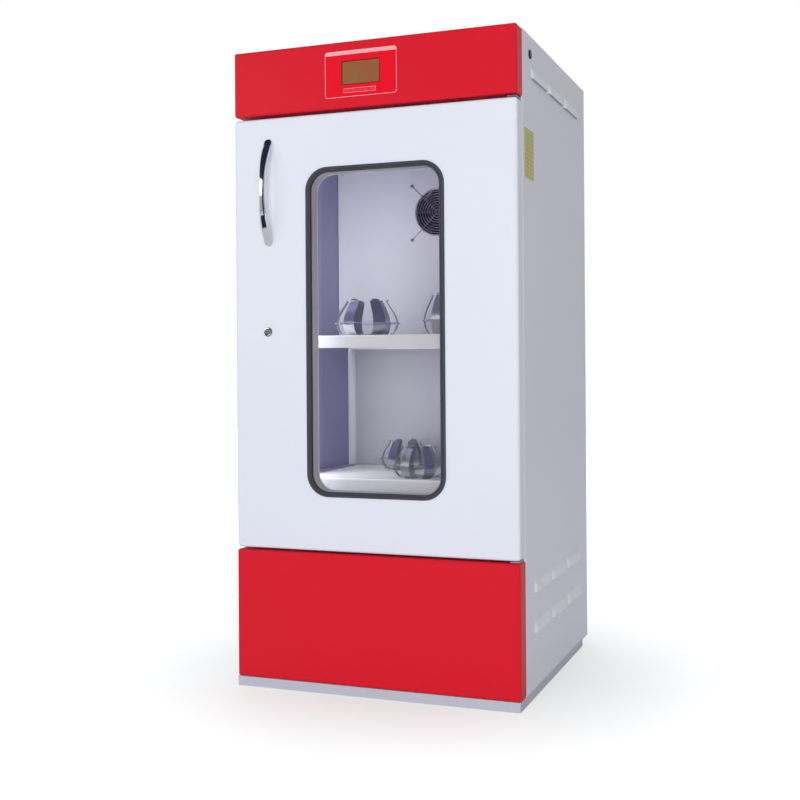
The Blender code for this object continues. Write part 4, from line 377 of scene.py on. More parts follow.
def fit(piece, body, finish, slot, *nodes):
    """Gives a finished piece its material and its body, and hides the CAD nodes that it stands for. The
    slot is not used.
    """
    if finish:
        piece.data.materials.clear()
        piece.data.materials.append(finish.material)
    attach(piece, body)
    if nodes:
        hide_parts(*nodes)
    return piece


def cut(piece, *cutters):
    """Takes the cutters out of a piece."""
    for cutter in cutters:
        opening = piece.modifiers.new("opening", "BOOLEAN")
        opening.operation = "DIFFERENCE"
        opening.solver = "EXACT"
        opening.object = cutter
    settle(piece)
    for cutter in cutters:
        bpy.data.objects.remove(cutter)
    return piece


def weld(piece, *others):
    """Joins closed pieces to a piece as one solid."""
    for other in others:
        seam = piece.modifiers.new("seam", "BOOLEAN")
        seam.operation = "UNION"
        seam.solver = "EXACT"
        seam.object = other
    settle(piece)
    for other in others:
        bpy.data.objects.remove(other)
    return piece


def blocks(name, *corners):
    """One mesh of boxes, each from its low and its high corner."""
    bm = bmesh.new()
    for low, high in zip(corners[::2], corners[1::2]):
        low, high = Vector(low), Vector(high)
        size = Matrix.Diagonal((*(high - low), 1))
        bmesh.ops.create_cube(bm, size=1, matrix=Matrix.Translation((low + high) / 2) @ size)
    return link_piece(name, bm)


def refined(node, body, finish, slot, radius=0.0004, angle=35):
    """A copy of a CAD node with its triangles welded, its edges broken and round faces smooth."""
    bm = bmesh.new()
    bm.from_mesh(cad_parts[node].data)
    bmesh.ops.remove_doubles(bm, verts=bm.verts, dist=0.00002)
    bmesh.ops.dissolve_limit(
        bm, angle_limit=math.radians(0.5), verts=bm.verts, edges=bm.edges, delimit=set()
    )
    piece = link_piece(node + "_finished", bm)
    soften(piece, radius, angle)
    return fit(piece, body, finish, slot, node)


def thicken(piece, thickness, offset=-1, even=False):
    """Gives a sheet its thickness: inwards, or to both sides where the offset is 0."""
    wall = piece.modifiers.new("wall", "SOLIDIFY")
    wall.thickness = thickness
    wall.offset = offset
    wall.use_even_offset = even
    return settle(piece)


def bridge(bm, rows, closed=False):
    """Faces between rows of points, and from each row's end to its start where it is closed."""
    for one, other in zip(rows, rows[1:]):
        for step in range(len(one) if closed else len(one) - 1):
            after = (step + 1) % len(one)
            bm.faces.new((one[step], one[after], other[after], other[step]))


def pan(name, low, high, open_side, radius, thickness=SHEET, segments=5):
    """A pressed pan: a box with one open side, rounded folds and the sheet's thickness inwards."""
    low, high = Vector(low), Vector(high)
    bm = bmesh.new()
    size = Matrix.Diagonal((*(high - low), 1))
    bmesh.ops.create_cube(bm, size=1, matrix=Matrix.Translation((low + high) / 2) @ size)
    mouth = [f for f in bm.faces if f.normal.dot(Vector(open_side)) > 0.9]
    bmesh.ops.delete(bm, geom=mouth, context="FACES_ONLY")
    folds = [e for e in bm.edges if len(e.link_faces) == 2]
    bmesh.ops.bevel(
        bm, geom=folds, offset=radius, segments=segments, profile=0.5, affect="EDGES", clamp_overlap=True
    )
    return thicken(link_piece(name, bm), thickness, even=True)


def strip(name, path, low, high, thickness=SHEET):
    """A sheet folded along a path in X and Y, from one height to another."""
    bm = bmesh.new()
    rows = [[bm.verts.new((x, y, z)) for x, y in path] for z in (low, high)]
    bridge(bm, rows)
    return thicken(link_piece(name, bm), thickness, even=True)


def folded(points, radius, steps=5):
    """A path with its inner corners rounded."""
    path = [Vector(points[0])]
    for before, corner, after in zip(points, points[1:], points[2:]):
        corner = Vector(corner)
        inward = (Vector(before) - corner).normalized()
        onward = (Vector(after) - corner).normalized()
        for step in range(steps + 1):
            turn = math.pi / 2 * step / steps
            path.append(
                corner
                + inward * radius * (1 - math.sin(turn))
                + onward * radius * (1 - math.cos(turn))
            )
    path.append(Vector(points[-1]))
    return path


class Rule(Nodes):
    """A Geometry Nodes tree whose sizes are named inputs."""

    def __init__(self, name, **sizes):
        tree = bpy.data.node_groups.new(name, "GeometryNodeTree")
        super().__init__(tree)
        tree.interface.new_socket("Geometry", in_out="OUTPUT", socket_type="NodeSocketGeometry")
        self.keys = {}
        for key, value in sizes.items():
            kind = {int: "NodeSocketInt", float: "NodeSocketFloat"}.get(type(value))
            kind = kind or ("NodeSocketMaterial" if key == "finish" else "NodeSocketObject")
            socket = tree.interface.new_socket(key, in_out="INPUT", socket_type=kind)
            self.keys[key] = (socket.identifier, value)
        held = tree.nodes.new("NodeGroupInput")
        self.size = {key: Wire(self, held.outputs[key]) for key in sizes}

    def make(self, kind, settings=None, sockets=None, output=0):
        return self.node("GeometryNode" + kind, settings, sockets, output)

    def round_axis(self, one, count, turn):
        """Sets copies of an object at the origin, each with its own turn."""
        copy = self.make("ObjectInfo", None, {"Object": one}, "Geometry")
        line = self.make("MeshLine", None, {"Count": count, "Offset": (0, 0, 0)})
        sockets = {"Points": line, "Instance": copy, "Rotation": turn}
        return self.make("InstanceOnPoints", None, sockets)

    def piece(self, name, geometry):
        """Runs the tree and returns its result as an object with a plain mesh."""
        real = self.make("RealizeInstances", None, {0: geometry})
        coated = self.make("SetMaterial", None, {"Geometry": real, "Material": self.size["finish"]})
        end = self.tree.nodes.new("NodeGroupOutput")
        self.tree.links.new(coated.socket, end.inputs[0])
        made = stand(name, bpy.data.meshes.new(name))
        rule = made.modifiers.new("rule", "NODES")
        rule.node_group = self.tree
        for identifier, value in self.keys.values():
            rule[identifier] = value.material if isinstance(value, Finish) else value
        return settle(made)


LOUVRE = (0.148, 0.032, 0.006)  # length, height, and how far its lip stands out
LOUVRE_PITCH = 0.157
LOUVRE_MIDDLE = 0.026  # place of the row's middle along the side
LOUVRE_HEIGHTS = (1.3275, 0.240, 0.155)
LOUVRE_CREST = 0.72  # share of the height over which the hood rises to its lip
LOUVRE_END = 0.014  # length over which the hood falls away at each end
LOUVRE_SHEET = 0.0014
FRONT_RETURN, BACK_RETURN = 0.020, 0.015
PANEL_LOW, PANEL_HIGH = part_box("right_side_panel")
SIDE_FACE = PANEL_HIGH.x - LOUVRE[2]  # the flat sheet's outer face, without the hoods
FOLD = 0.003

# Painted highlight and shade: the hoods are painted paler, standing in for the light their sloping faces
# catch. The flat sheet is a little greyer and bluer than the door's same white, standing in for the
# side's shade, with random variation.
x, _, _ = shade_and_highlight_side_coat.axes(shade_and_highlight_side_coat.place)
painted_hood_highlight = shade_and_highlight_side_coat.ramp(x.math("ABSOLUTE"), SIDE_FACE + 0.0004, SIDE_FACE + 0.0030)
painted_side_shade = shade_and_highlight_side_coat.mix(shade_and_highlight_side_coat.noise(0.4, 2), seen(226, 227, 240), seen(232, 235, 247))
shade_and_highlight_side_coat.set("Base Color", shade_and_highlight_side_coat.mix(painted_hood_highlight, painted_side_shade, seen(242, 243, 250)))


def louvre_row(name, side, height):
    """A row of three hoods, each pressed out from its top edge to an open lip below."""
    rule = Rule(
        "louvre_row", length=LOUVRE[0], height=LOUVRE[1], proud=LOUVRE[2], pitch=LOUVRE_PITCH,
        finish=shade_and_highlight_side_coat,
    )
    size = rule.size
    sheet = rule.make(
        "MeshGrid",
        None,
        {"Size X": size["length"], "Size Y": size["height"], "Vertices X": 41, "Vertices Y": 15},
    )
    x, y, _ = rule.axes(rule.make("InputPosition"))
    rise = (0.5 - y / size["height"]).math("MINIMUM", LOUVRE_CREST) / LOUVRE_CREST
    rise = rise * rise * (3 - 2 * rise)
    end = ((size["length"] / 2 - x.math("ABSOLUTE")) / LOUVRE_END).math("MINIMUM", 1)
    end = end * end * (3 - 2 * end)
    out = rise * end * (size["proud"] - 0.0002)
    hood = rule.make("SetPosition", None, {"Geometry": sheet, "Offset": rule.vector(0, 0, out)})
    row = rule.make("MeshLine", None, {"Count": 3, "Offset": rule.vector(size["pitch"], 0, 0)})
    hoods = rule.make("InstanceOnPoints", None, {"Points": row, "Instance": hood})
    made = rule.piece(name, hoods)
    turn = Matrix(((0, 0, side), (1, 0, 0), (0, 1, 0))).to_4x4()
    shift = Vector((side * SIDE_FACE, LOUVRE_MIDDLE - LOUVRE_PITCH, height))
    made.data.transform(Matrix.Translation(shift) @ turn)
    bm = bmesh.new()
    bm.from_mesh(made.data)
    if side < 0:
        bmesh.ops.reverse_faces(bm, faces=bm.faces)
    bm.to_mesh(made.data)
    bm.free()
    return thicken(made, LOUVRE_SHEET)


for node, side in (("right_side_panel", 1), ("left_side_panel", -1)):
    outer = side * SIDE_FACE
    front, back = PANEL_LOW.y, PANEL_HIGH.y
    corners = [
        (outer - side * FRONT_RETURN, front), (outer, front), (outer, back),
        (outer - side * BACK_RETURN, back),
    ]
    if side < 0:
        corners.reverse()
    panel = strip(node + "_sheet", folded(corners, FOLD), PANEL_LOW.z, PANEL_HIGH.z)
    slots = []
    for height in LOUVRE_HEIGHTS:
        for column in (-1, 0, 1):
            y = LOUVRE_MIDDLE + column * LOUVRE_PITCH
            half = LOUVRE[0] / 2 - 0.006
            ends = sorted((outer - side * 0.004, outer + side * 0.0009))
            slots.append((ends[0], y - half, height - LOUVRE[1] / 2 + 0.006))
            slots.append((ends[1], y + half, height + LOUVRE[1] / 2 - 0.008))
    cut(panel, blocks("louvre_slots", *slots))
    if side > 0:
        low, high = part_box("switch_bezel")
        middle = (low + high) / 2
        reach = (high.z - low.z) / 2 - 0.0010
        bm = bmesh.new()
        bmesh.ops.create_cone(
            bm, cap_ends=True, segments=48, radius1=reach, radius2=reach, depth=0.03,
            matrix=Matrix.Translation((outer, middle.y, middle.z))
            @ Matrix.Rotation(math.pi / 2, 4, "Y"),
        )
        cut(panel, link_piece("switch_hole", bm))
    rows = [louvre_row(node + "_louvres", side, height) for height in LOUVRE_HEIGHTS]
    weld(panel, *rows)
    smooth(panel)
    fit(panel, "cabinet", shade_and_highlight_side_coat, "white_paint", node)

refined("plinth", "cabinet", grey_coat, "grey_paint", 0.0012)
refined("rear_panel", "cabinet", grey_coat, "grey_paint", 0.0003)
low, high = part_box("top_panel")
top = pan("top_cover", low, high, (0, 0, -1), FOLD)
fit(smooth(top), "cabinet", grey_coat, "grey_paint", "top_panel")


# Red fronts. The control fascia and the lower panel are deep pressed pans in a strong red coat
# that hook onto the cabinet's face above and below the door.
RED = seen(221, 24, 44)
PRESS_RADIUS = 0.005
NOTCH = (0.0045, 0.006)  # depth from the back edge, and height

red_coat = powder_coat("red_powder_coat", RED, 0.34)
red_coat.set("Specular IOR Level", 0.2)


def notched(piece, node, edge):
    """Cuts the notch for the hinge bracket, at the pan's edge towards the door."""
    low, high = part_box(node)
    cut(piece, blocks("notch", (low.x - 0.001, high.y - NOTCH[0], edge - NOTCH[1]),
                      (high.x + 0.001, high.y + 0.01, edge + NOTCH[1])))


def outline_box(width, height, radius, steps=10, shift=(0, 0)):
    """A rounded rectangle as points in X and Z, running anticlockwise."""
    points = []
    quarter = math.pi / 2
    for corner, (sx, sz) in enumerate(((1, 1), (-1, 1), (-1, -1), (1, -1))):
        middle_x = sx * (width / 2 - radius) + shift[0]
        middle_z = sz * (height / 2 - radius) + shift[1]
        for step in range(steps + 1):
            turn = quarter * (corner + step / steps)
            points.append((middle_x + radius * math.cos(turn), middle_z + radius * math.sin(turn)))
    return points


def plate(name, outlines, front, back, edge=0.0):
    """A flat plate that faces -Y, from outlines in X and Z: the outer one, and then its holes."""
    curve = bpy.data.curves.new(name, "CURVE")
    curve.dimensions = "2D"
    curve.fill_mode = "BOTH"
    curve.extrude = (back - front) / 2 - edge
    curve.bevel_depth = edge
    curve.bevel_resolution = 2
    curve.offset = -edge
    for outline in outlines:
        spline = curve.splines.new("POLY")
        spline.points.add(len(outline) - 1)
        for point, (x, z) in zip(spline.points, outline):
            point.co = (x, z, 0, 1)
        spline.use_cyclic_u = True
    holder = stand(name + "_outline", curve)
    graph = bpy.context.evaluated_depsgraph_get()
    mesh = bpy.data.meshes.new_from_object(holder.evaluated_get(graph))
    bpy.data.objects.remove(holder)
    bpy.data.curves.remove(curve)
    mesh.transform(Matrix.Translation((0, (front + back) / 2, 0)) @ Matrix.Rotation(math.pi / 2, 4, "X"))
    bm = bmesh.new()
    bm.from_mesh(mesh)
    bmesh.ops.remove_doubles(bm, verts=bm.verts, dist=0.000002)
    bmesh.ops.recalc_face_normals(bm, faces=bm.faces)
    bpy.data.meshes.remove(mesh)
    return link_piece(name, bm)


low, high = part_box("lower_front_panel")
lower_panel = pan("lower_red_panel", low, high, (0, 1, 0), PRESS_RADIUS)
notched(lower_panel, "lower_hinge_bracket", high.z)
fit(smooth(lower_panel), "cabinet", red_coat, "red_paint", "lower_front_panel")

low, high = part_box("control_fascia")
fascia = pan("red_control_fascia", low, high, (0, 1, 0), PRESS_RADIUS)
notched(fascia, "upper_hinge_bracket", low.z)
DISPLAY_LOW, DISPLAY_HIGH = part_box("display_module")
OVERLAY_LOW, OVERLAY_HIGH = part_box("control_overlay")
DISPLAY_SIZE = (0.088, 0.0515)
OVERLAY_MIDDLE = (OVERLAY_LOW + OVERLAY_HIGH) / 2
DISPLAY_MIDDLE = (DISPLAY_LOW + DISPLAY_HIGH) / 2
window = outline_box(*DISPLAY_SIZE, 0.0008, 3, (DISPLAY_MIDDLE.x, DISPLAY_MIDDLE.z))
cut(fascia, plate("display_opening", [window], low.y - 0.01, low.y + 0.01))
fit(smooth(fascia), "cabinet", red_coat, "red_paint", "control_fascia")


# Control bay floor. A folded grey sheet over the chamber's insulation. Its front edge stands up
# behind the fascia and closes the gap above the door.
LINER_LOW, LINER_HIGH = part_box("chamber_liner")
BAY_BACK = 0.30
BAY_UPSTAND = 0.016
BAY_SHEET = 0.0012
BAY_SETBACK = 0.0025  # behind the liner's front
BAY_LIFT = 0.0003  # above the liner
BAY_MARGIN = 0.0045  # inside each side panel

bay_front = LINER_LOW.y + BAY_SETBACK
bay_base = LINER_HIGH.z + BAY_LIFT
bay_side = SIDE_FACE - BAY_MARGIN
bay_floor = blocks("control_bay_floor", (-bay_side, bay_front, bay_base),
                   (bay_side, BAY_BACK, bay_base + BAY_SHEET))
upstand = blocks("bay_upstand", (-bay_side, bay_front, bay_base + BAY_SHEET / 2),
                 (bay_side, bay_front + BAY_SHEET, bay_base + BAY_UPSTAND))
fit(smooth(weld(bay_floor, upstand)), "cabinet", grey_coat, "grey_paint")


# Control overlay. A printed polyester film on the fascia: bright red, with a thin pale border,
# a pale band along its top, a bare strip of key fields, and a window for the display.
FILM = (OVERLAY_HIGH.x - OVERLAY_LOW.x, OVERLAY_HIGH.z - OVERLAY_LOW.z)
FILM_RADIUS = 0.006
BORDER = 0.0011
BAND_HEIGHT = 0.0085
STRIP = (0.0735, 0.0095)
STRIP_DROP = 0.036  # key strip's middle below the film's middle
STRIP_SHIFT = 0.002  # and to the left of it
STRIP_LINE = 0.0007
KEYS = 5
KEY_SIDE, KEY_GAP, KEY_INSET = 0.004, 0.0012, 0.0034
INK = 0.00012

film = Finish("red_overlay_film", seen(236, 6, 36), 0.34, Specular_IOR_Level=0.2)
film.relief(0.0009, 1, 0.00001)
film.set("Roughness", film.noise(0.05, 2) * 0.12 + 0.26)
pale_ink = Finish("pale_printed_ink", seen(246, 176, 184), 0.4)
pale_ink.cloud(0.06, 0.012, 2)
strip_ink = Finish("rose_printed_ink", seen(238, 44, 72), 0.4)
strip_ink.cloud(0.10, 0.010, 2)

centre = (OVERLAY_MIDDLE.x, OVERLAY_MIDDLE.z)
film_outline = outline_box(*FILM, FILM_RADIUS, 8, centre)
overlay = plate("overlay_film", [film_outline, window], OVERLAY_LOW.y + INK, OVERLAY_HIGH.y)
fit(smooth(overlay), "cabinet", film, "overlay_film", "control_overlay")

inside = outline_box(FILM[0] - 2 * BORDER, FILM[1] - 2 * BORDER, FILM_RADIUS - BORDER, 8, centre)
border = plate("overlay_border", [film_outline, inside], OVERLAY_LOW.y, OVERLAY_LOW.y + INK)
fit(border, "cabinet", pale_ink, "overlay_film")

band_base = centre[1] + FILM[1] / 2 - BAND_HEIGHT
band_outline = [(x, max(z, band_base)) for x, z in inside]
band_top = [point for point in band_outline if point[1] > band_base]
left, right = centre[0] - FILM[0] / 2 + BORDER, centre[0] + FILM[0] / 2 - BORDER
band = plate("overlay_band", [band_top + [(left, band_base), (right, band_base)]],
             OVERLAY_LOW.y, OVERLAY_LOW.y + INK)
fit(band, "cabinet", pale_ink, "overlay_film")

strip_middle = (centre[0] - STRIP_SHIFT, centre[1] - STRIP_DROP)
strip_line = [
    outline_box(STRIP[0] - 2 * inset, STRIP[1] - 2 * inset, 0.0014, 3, strip_middle)
    for inset in (0, STRIP_LINE)
]
key_line = plate("overlay_key_line", strip_line, OVERLAY_LOW.y, OVERLAY_LOW.y + INK)
fit(key_line, "cabinet", pale_ink, "overlay_film")
for key in range(KEYS):
    width = (STRIP[0] - KEY_SIDE) / KEYS
    place = (strip_middle[0] + (key - 2) * width, strip_middle[1])
    outline = outline_box(width - KEY_GAP, STRIP[1] - KEY_INSET, 0.0010, 3, place)
    field = plate(f"overlay_key_field_{key}", [outline], OVERLAY_LOW.y, OVERLAY_LOW.y + INK)
    fit(field, "cabinet", strip_ink, "overlay_film")


# Display. An unlit panel behind a thin black frame: brown-olive glass over a fine dot grid.
DOT = 0.0009
DOT_LINE = 0.14  # share of a dot's pitch that its dark border takes
display_glass = Finish("unlit_display_glass", seen(152, 92, 60), 0.20, Specular_IOR_Level=0.4)
x, _, z = display_glass.axes(display_glass.place)
grid = ((x / DOT).math("FRACT") < DOT_LINE).math("MAXIMUM", (z / DOT).math("FRACT") < DOT_LINE)
olive = display_glass.mix(display_glass.noise(0.025, 3), seen(168, 84, 60), seen(140, 112, 60))
display_glass.set("Base Color", display_glass.mix(grid * 0.35, olive, seen(96, 70, 44)))
frame_plastic = Finish("black_display_frame", seen(30, 22, 22), 0.4)
frame_plastic.relief(0.0006, 1, 0.00001)

FRAME_EDGE = 0.0016
panel_front = DISPLAY_LOW.y + 0.0001
panel_back = panel_front + 0.003
display_centre = (DISPLAY_MIDDLE.x, DISPLAY_MIDDLE.z)
glass_size = [side - 2 * FRAME_EDGE for side in DISPLAY_SIZE]
glass_outline = outline_box(*glass_size, 0.0006, 3, display_centre)
outer_edge = outline_box(DISPLAY_SIZE[0] - 0.0006, DISPLAY_SIZE[1] - 0.0006, 0.0008, 3, display_centre)
edge_frame = plate("display_frame", [outer_edge, glass_outline], panel_front, panel_back, 0.0002)
fit(smooth(edge_frame), "cabinet", frame_plastic, "display_glass")
screen = plate("display_screen", [glass_outline], panel_front + 0.0008, panel_back)
fit(screen, "cabinet", display_glass, "display_glass")
module = refined("display_module", "cabinet", frame_plastic, "display_glass", 0.0003)
cut(module, blocks("front_of_module", (DISPLAY_LOW.x - 1, DISPLAY_LOW.y - 0.01, DISPLAY_LOW.z - 1),
                   (DISPLAY_HIGH.x + 1, panel_back + 0.0001, DISPLAY_HIGH.z + 1)))


# Power switch. A round black rocker switch on the right side, near the front: a moulded bezel
# that snaps into the sheet, and a green rocker that tilts in it.
black_plastic = Finish("black_moulded_plastic", seen(34, 34, 37), 0.42)
black_plastic.relief(0.0005, 1, 0.00002)
black_plastic.cloud(0.35, 0.02, 3)
green_plastic = Finish("green_rocker_plastic", seen(20, 104, 62), 0.25, Coat_Weight=0.3)
green_plastic.cloud(0.30, 0.004, 2)


def turned(name, profile, place, axis, steps=48):
    """A piece turned about an axis through a place, from (radius, distance along the axis)."""
    bm = bmesh.new()
    rings = []
    for radius, along in profile:
        if radius < 0.000001:
            rings.append([bm.verts.new((0, 0, along))])
            continue
        ring = []
        for step in range(steps):
            turn = 2 * math.pi * step / steps
            ring.append(bm.verts.new((radius * math.cos(turn), radius * math.sin(turn), along)))
        rings.append(ring)
    for one, other in zip(rings, rings[1:]):
        for step in range(steps):
            after = (step + 1) % steps
            corners = [one[step % len(one)], one[after % len(one)]]
            corners += [other[after % len(other)], other[step % len(other)]]
            bm.faces.new(list(dict.fromkeys(corners)))
    bmesh.ops.recalc_face_normals(bm, faces=bm.faces)
    piece = link_piece(name, bm)
    turn = Vector((0, 0, 1)).rotation_difference(Vector(axis)).to_matrix().to_4x4()
    piece.data.transform(Matrix.Translation(place) @ turn)
    return piece


BEZEL_PROUD = 0.0026
low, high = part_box("switch_bezel")
switch_middle = Vector((high.x - BEZEL_PROUD, (low.y + high.y) / 2, (low.z + high.z) / 2))
bezel = turned(
    "switch_bezel_ring",
    [(0, -0.009), (0.0072, -0.009), (0.0072, 0.0018), (0.0076, 0.0024), (0.0082, 0.0026),
     (0.0092, 0.0024), (0.0098, 0.0018), (0.0100, 0.0010), (0.0100, 0.0003), (0.0085, 0.0003),
     (0.0085, -0.016), (0, -0.016)],
    switch_middle, (1, 0, 0),
)
fit(smooth(bezel), "cabinet", black_plastic, "black_plastic", "switch_bezel")
refined("power_rocker", "rocker", green_plastic, "green_plastic", 0.0006, 25)


# Door. A pressed white pan with a window cut in it, packed with foam, closed behind by a flat
# inner panel. It hangs on pins in two bushes at its right edge.
DOOR_RADIUS = 0.007
WINDOW = (0.317, 0.711, 0.050)
PIN_SETBACK = 0.014
BUSH_MIDDLE = 0.009  # from the door's lower and upper edge
BUSH = (0.0082, 0.0062)  # half length and radius
BORE = (0.012, 0.0044)
LOCK_BORE = 0.0088
GASKET_LOW, GASKET_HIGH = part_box("window_gasket")
WINDOW_MIDDLE = ((GASKET_LOW.x + GASKET_HIGH.x) / 2, (GASKET_LOW.z + GASKET_HIGH.z) / 2)


def window_line(inset, steps=14):
    """The window's outline, drawn in by a distance."""
    width, height, radius = WINDOW
    return outline_box(width - 2 * inset, height - 2 * inset, radius - inset, steps, WINDOW_MIDDLE)


def rod(name, one, other, radius, sides=32):
    """A round rod between two points."""
    one, other = Vector(one), Vector(other)
    length = (other - one).length
    return turned(name, [(0, 0), (radius, 0), (radius, length), (0, length)], one, other - one, sides)


SKIN_LOW, SKIN_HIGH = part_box("door_skin")
HANDLE_LOW, HANDLE_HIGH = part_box("door_handle")
HANDLE_MIDDLE = (HANDLE_LOW + HANDLE_HIGH) / 2
LOCK_LOW, LOCK_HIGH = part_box("lock_body")
LOCK_MIDDLE = (LOCK_LOW + LOCK_HIGH) / 2
BRACKET_LOW, BRACKET_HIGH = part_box("upper_hinge_bracket")
PIN_X = (BRACKET_LOW.x + BRACKET_HIGH.x) / 2
PIN_Y = SKIN_LOW.y + PIN_SETBACK
skin_front = SKIN_LOW.y
skin = pan("door_skin_pan", SKIN_LOW, SKIN_HIGH, (0, 1, 0), DOOR_RADIUS)


def on_pins(name, half, radius):
    """Rods about both hinge pins."""
    ends = (SKIN_LOW.z + BUSH_MIDDLE, SKIN_HIGH.z - BUSH_MIDDLE)
    return [rod(name, (PIN_X, PIN_Y, z - half), (PIN_X, PIN_Y, z + half), radius) for z in ends]


weld(skin, *on_pins("hinge_bush", *BUSH))
holes = on_pins("pin_bore", *BORE)
holes.append(rod("lock_hole", (LOCK_MIDDLE.x, skin_front - 0.01, LOCK_MIDDLE.z),
                 (LOCK_MIDDLE.x, skin_front + 0.01, LOCK_MIDDLE.z), LOCK_BORE))
holes.append(plate("window_hole", [window_line(0.0055)], skin_front - 0.01, skin_front + 0.01))
cut(skin, *holes)
fit(smooth(skin), "door", white_coat, "white_paint", "door_skin")
refined("door_inner_panel", "door", white_coat, "white_paint", 0.0003)

foam = Finish("cream_rigid_foam", seen(226, 214, 170), 0.95)
foam.cloud(0.18, 0.004, 3)
foam.relief(0.0012, 3, 0.0004)


def coat_node(finish, slot, *nodes):
    """Gives CAD nodes a finish in place of their plain one."""
    for node in nodes:
        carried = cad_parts[node]
        carried.data.materials.clear()
        carried.data.materials.append(finish.material)


coat_node(foam, "foam", "door_insulation", "chamber_insulation")


# Window. Two clear panes, a black rubber gasket that holds the front one in the skin, and a
# satin reveal between the panes.
rubber = Finish("black_window_rubber", seen(70, 71, 84), 0.42)
rubber.cloud(0.30, 0.03, 3)
rubber.set("Roughness", rubber.noise(0.012, 3) * 0.20 + 0.30)
rubber.relief(0.0030, 2, 0.00010)
spacer = Finish("satin_window_reveal", seen(206, 202, 200), 0.45)
spacer.shade(0.25, spacer.noise(0.12, 2, (1, 1, 0.2)))
spacer.relief(0.002, 1, 0.00003)

# The glass is a faint mirror over clear air, so that light passes both panes undimmed.
GLASS_INDEX = 1.45
GLASS_SHEEN = 1.6

glass = Finish("clear_window_glass", (0.95, 0.97, 1.0), 0.02, 1.0)
behind = Wire(glass, glass.node("ShaderNodeNewGeometry").socket.node.outputs["Backfacing"])
mirrored = glass.node("ShaderNodeFresnel", None, {"IOR": GLASS_INDEX})
glass.set("Alpha", (1 - behind) * mirrored * GLASS_SHEEN)


def ring(name, width, height, radius, section, centre, steps=14):
    """A closed section, as (inset, Y), carried round a rounded rectangle."""
    bm = bmesh.new()
    rows = []
    for inset, y in section:
        turn = max(radius - inset, 0.0005)
        line = outline_box(width - 2 * inset, height - 2 * inset, turn, steps, centre)
        rows.append([bm.verts.new((x, y, z)) for x, z in line])
    bridge(bm, rows + rows[:1], True)
    bmesh.ops.recalc_face_normals(bm, faces=bm.faces)
    return link_piece(name, bm)


def bead(middle, depth, half_width, height, steps=8):
    """A half-round bead as section points from its outer side to its inner side."""
    points = []
    for step in range(steps + 1):
        turn = math.pi * step / steps
        points.append((middle - half_width * math.cos(turn), depth - height * math.sin(turn)))
    return points


glass_front, glass_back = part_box("window_front_glass")[0].y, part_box("window_front_glass")[1].y
gasket_front, gasket_back = GASKET_LOW.y, GASKET_HIGH.y
outside = skin_front - 0.0003
proud = outside - gasket_front
section = [(0.0006, outside)]
section += bead(0.0036, outside - 0.0006, 0.0036, proud - 0.0006, 10)
section += bead(0.0093, outside - 0.0006, 0.0021, proud * 0.8 - 0.0006, 8)
section += [
    (0.0112, glass_front - 0.0003), (0.0078, glass_front - 0.0003), (0.0078, glass_back + 0.0003),
    (0.0109, glass_back + 0.0003), (0.0109, gasket_back), (0.0020, gasket_back),
    (0.0020, skin_front + 0.0018), (0.0058, skin_front + 0.0018), (0.0058, outside),
]
gasket = ring("window_gasket_rubber", *WINDOW, section, WINDOW_MIDDLE)
fit(smooth(gasket, 40), "door", rubber, "black_rubber", "window_gasket")

for node in ("window_front_glass", "window_rear_glass"):
    low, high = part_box(node)
    inset = (WINDOW[0] - (high.x - low.x)) / 2
    pane = plate(node + "_pane", [window_line(inset)], low.y, high.y, 0.0006)
    fit(smooth(pane), "door", glass, "clear_glass", node)

reveal_low, reveal_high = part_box("window_reveal")
reveal_inset = 0.0117
rear_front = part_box("window_rear_glass")[0].y - 0.0003
lap = (WINDOW[0] - (reveal_high.x - reveal_low.x)) / 2
section = [
    (reveal_inset, reveal_low.y), (reveal_inset, rear_front), (lap, rear_front),
    (lap, rear_front - 0.002), (reveal_inset - 0.002, rear_front - 0.002),
    (reveal_inset - 0.002, reveal_low.y),
]
reveal = ring("window_reveal_frame", *WINDOW, section, WINDOW_MIDDLE)
fit(smooth(reveal), "door", spacer, "white_paint", "window_reveal")


# Door seal. A grey magnetic gasket round the inner panel, pleated so that it closes on the
# chamber's flange.
seal_rubber = Finish("grey_seal_rubber", seen(150, 150, 154), 0.65)
seal_rubber.cloud(0.20, 0.05, 3)
seal_rubber.relief(0.002, 2, 0.00008)
low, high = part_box("door_seal")
width, height = high.x - low.x, high.z - low.z
back, fore = high.y, low.y
section = [
    (0.0000, fore), (0.0000, fore + 0.0010), (0.0012, fore + 0.0018), (0.0004, back - 0.0012),
    (0.0016, back), (0.0104, back), (0.0116, back - 0.0012), (0.0108, fore + 0.0018),
    (0.0120, fore + 0.0010), (0.0120, fore),
]
middle = ((low.x + high.x) / 2, (low.z + high.z) / 2)
seal = ring("door_seal_gasket", width, height, 0.022, section, middle)
fit(smooth(seal, 25), "door", seal_rubber, "seal_rubber", "door_seal")


# Handle. A cast bow, chrome plated: thin feet, a waist in the middle, and a flat section with
# rounded edges. Studs through the door's skin hold it.
chrome = Finish("polished_chrome", (0.80, 0.81, 0.84), 0.07, 1.0)
chrome.set("Roughness", chrome.noise(0.02, 3) * 0.08 + 0.04)
chrome.relief(0.03, 1, 0.00008)
HANDLE_FOOT = 0.016
HANDLE_THICK = 0.008
HANDLE_WAIST = 0.62
HANDLE_BOW = 2.6  # the bow's exponent: 2 is a plain arch, more is flatter in the middle
HANDLE_EDGE = 0.45  # the section's exponent: 1 is an ellipse, less is squarer
STUD = (0.003, 0.0145)  # radius and length
STUD_INSET = 0.008
HANDLE_STEPS = 56
HANDLE_SIDES = 28


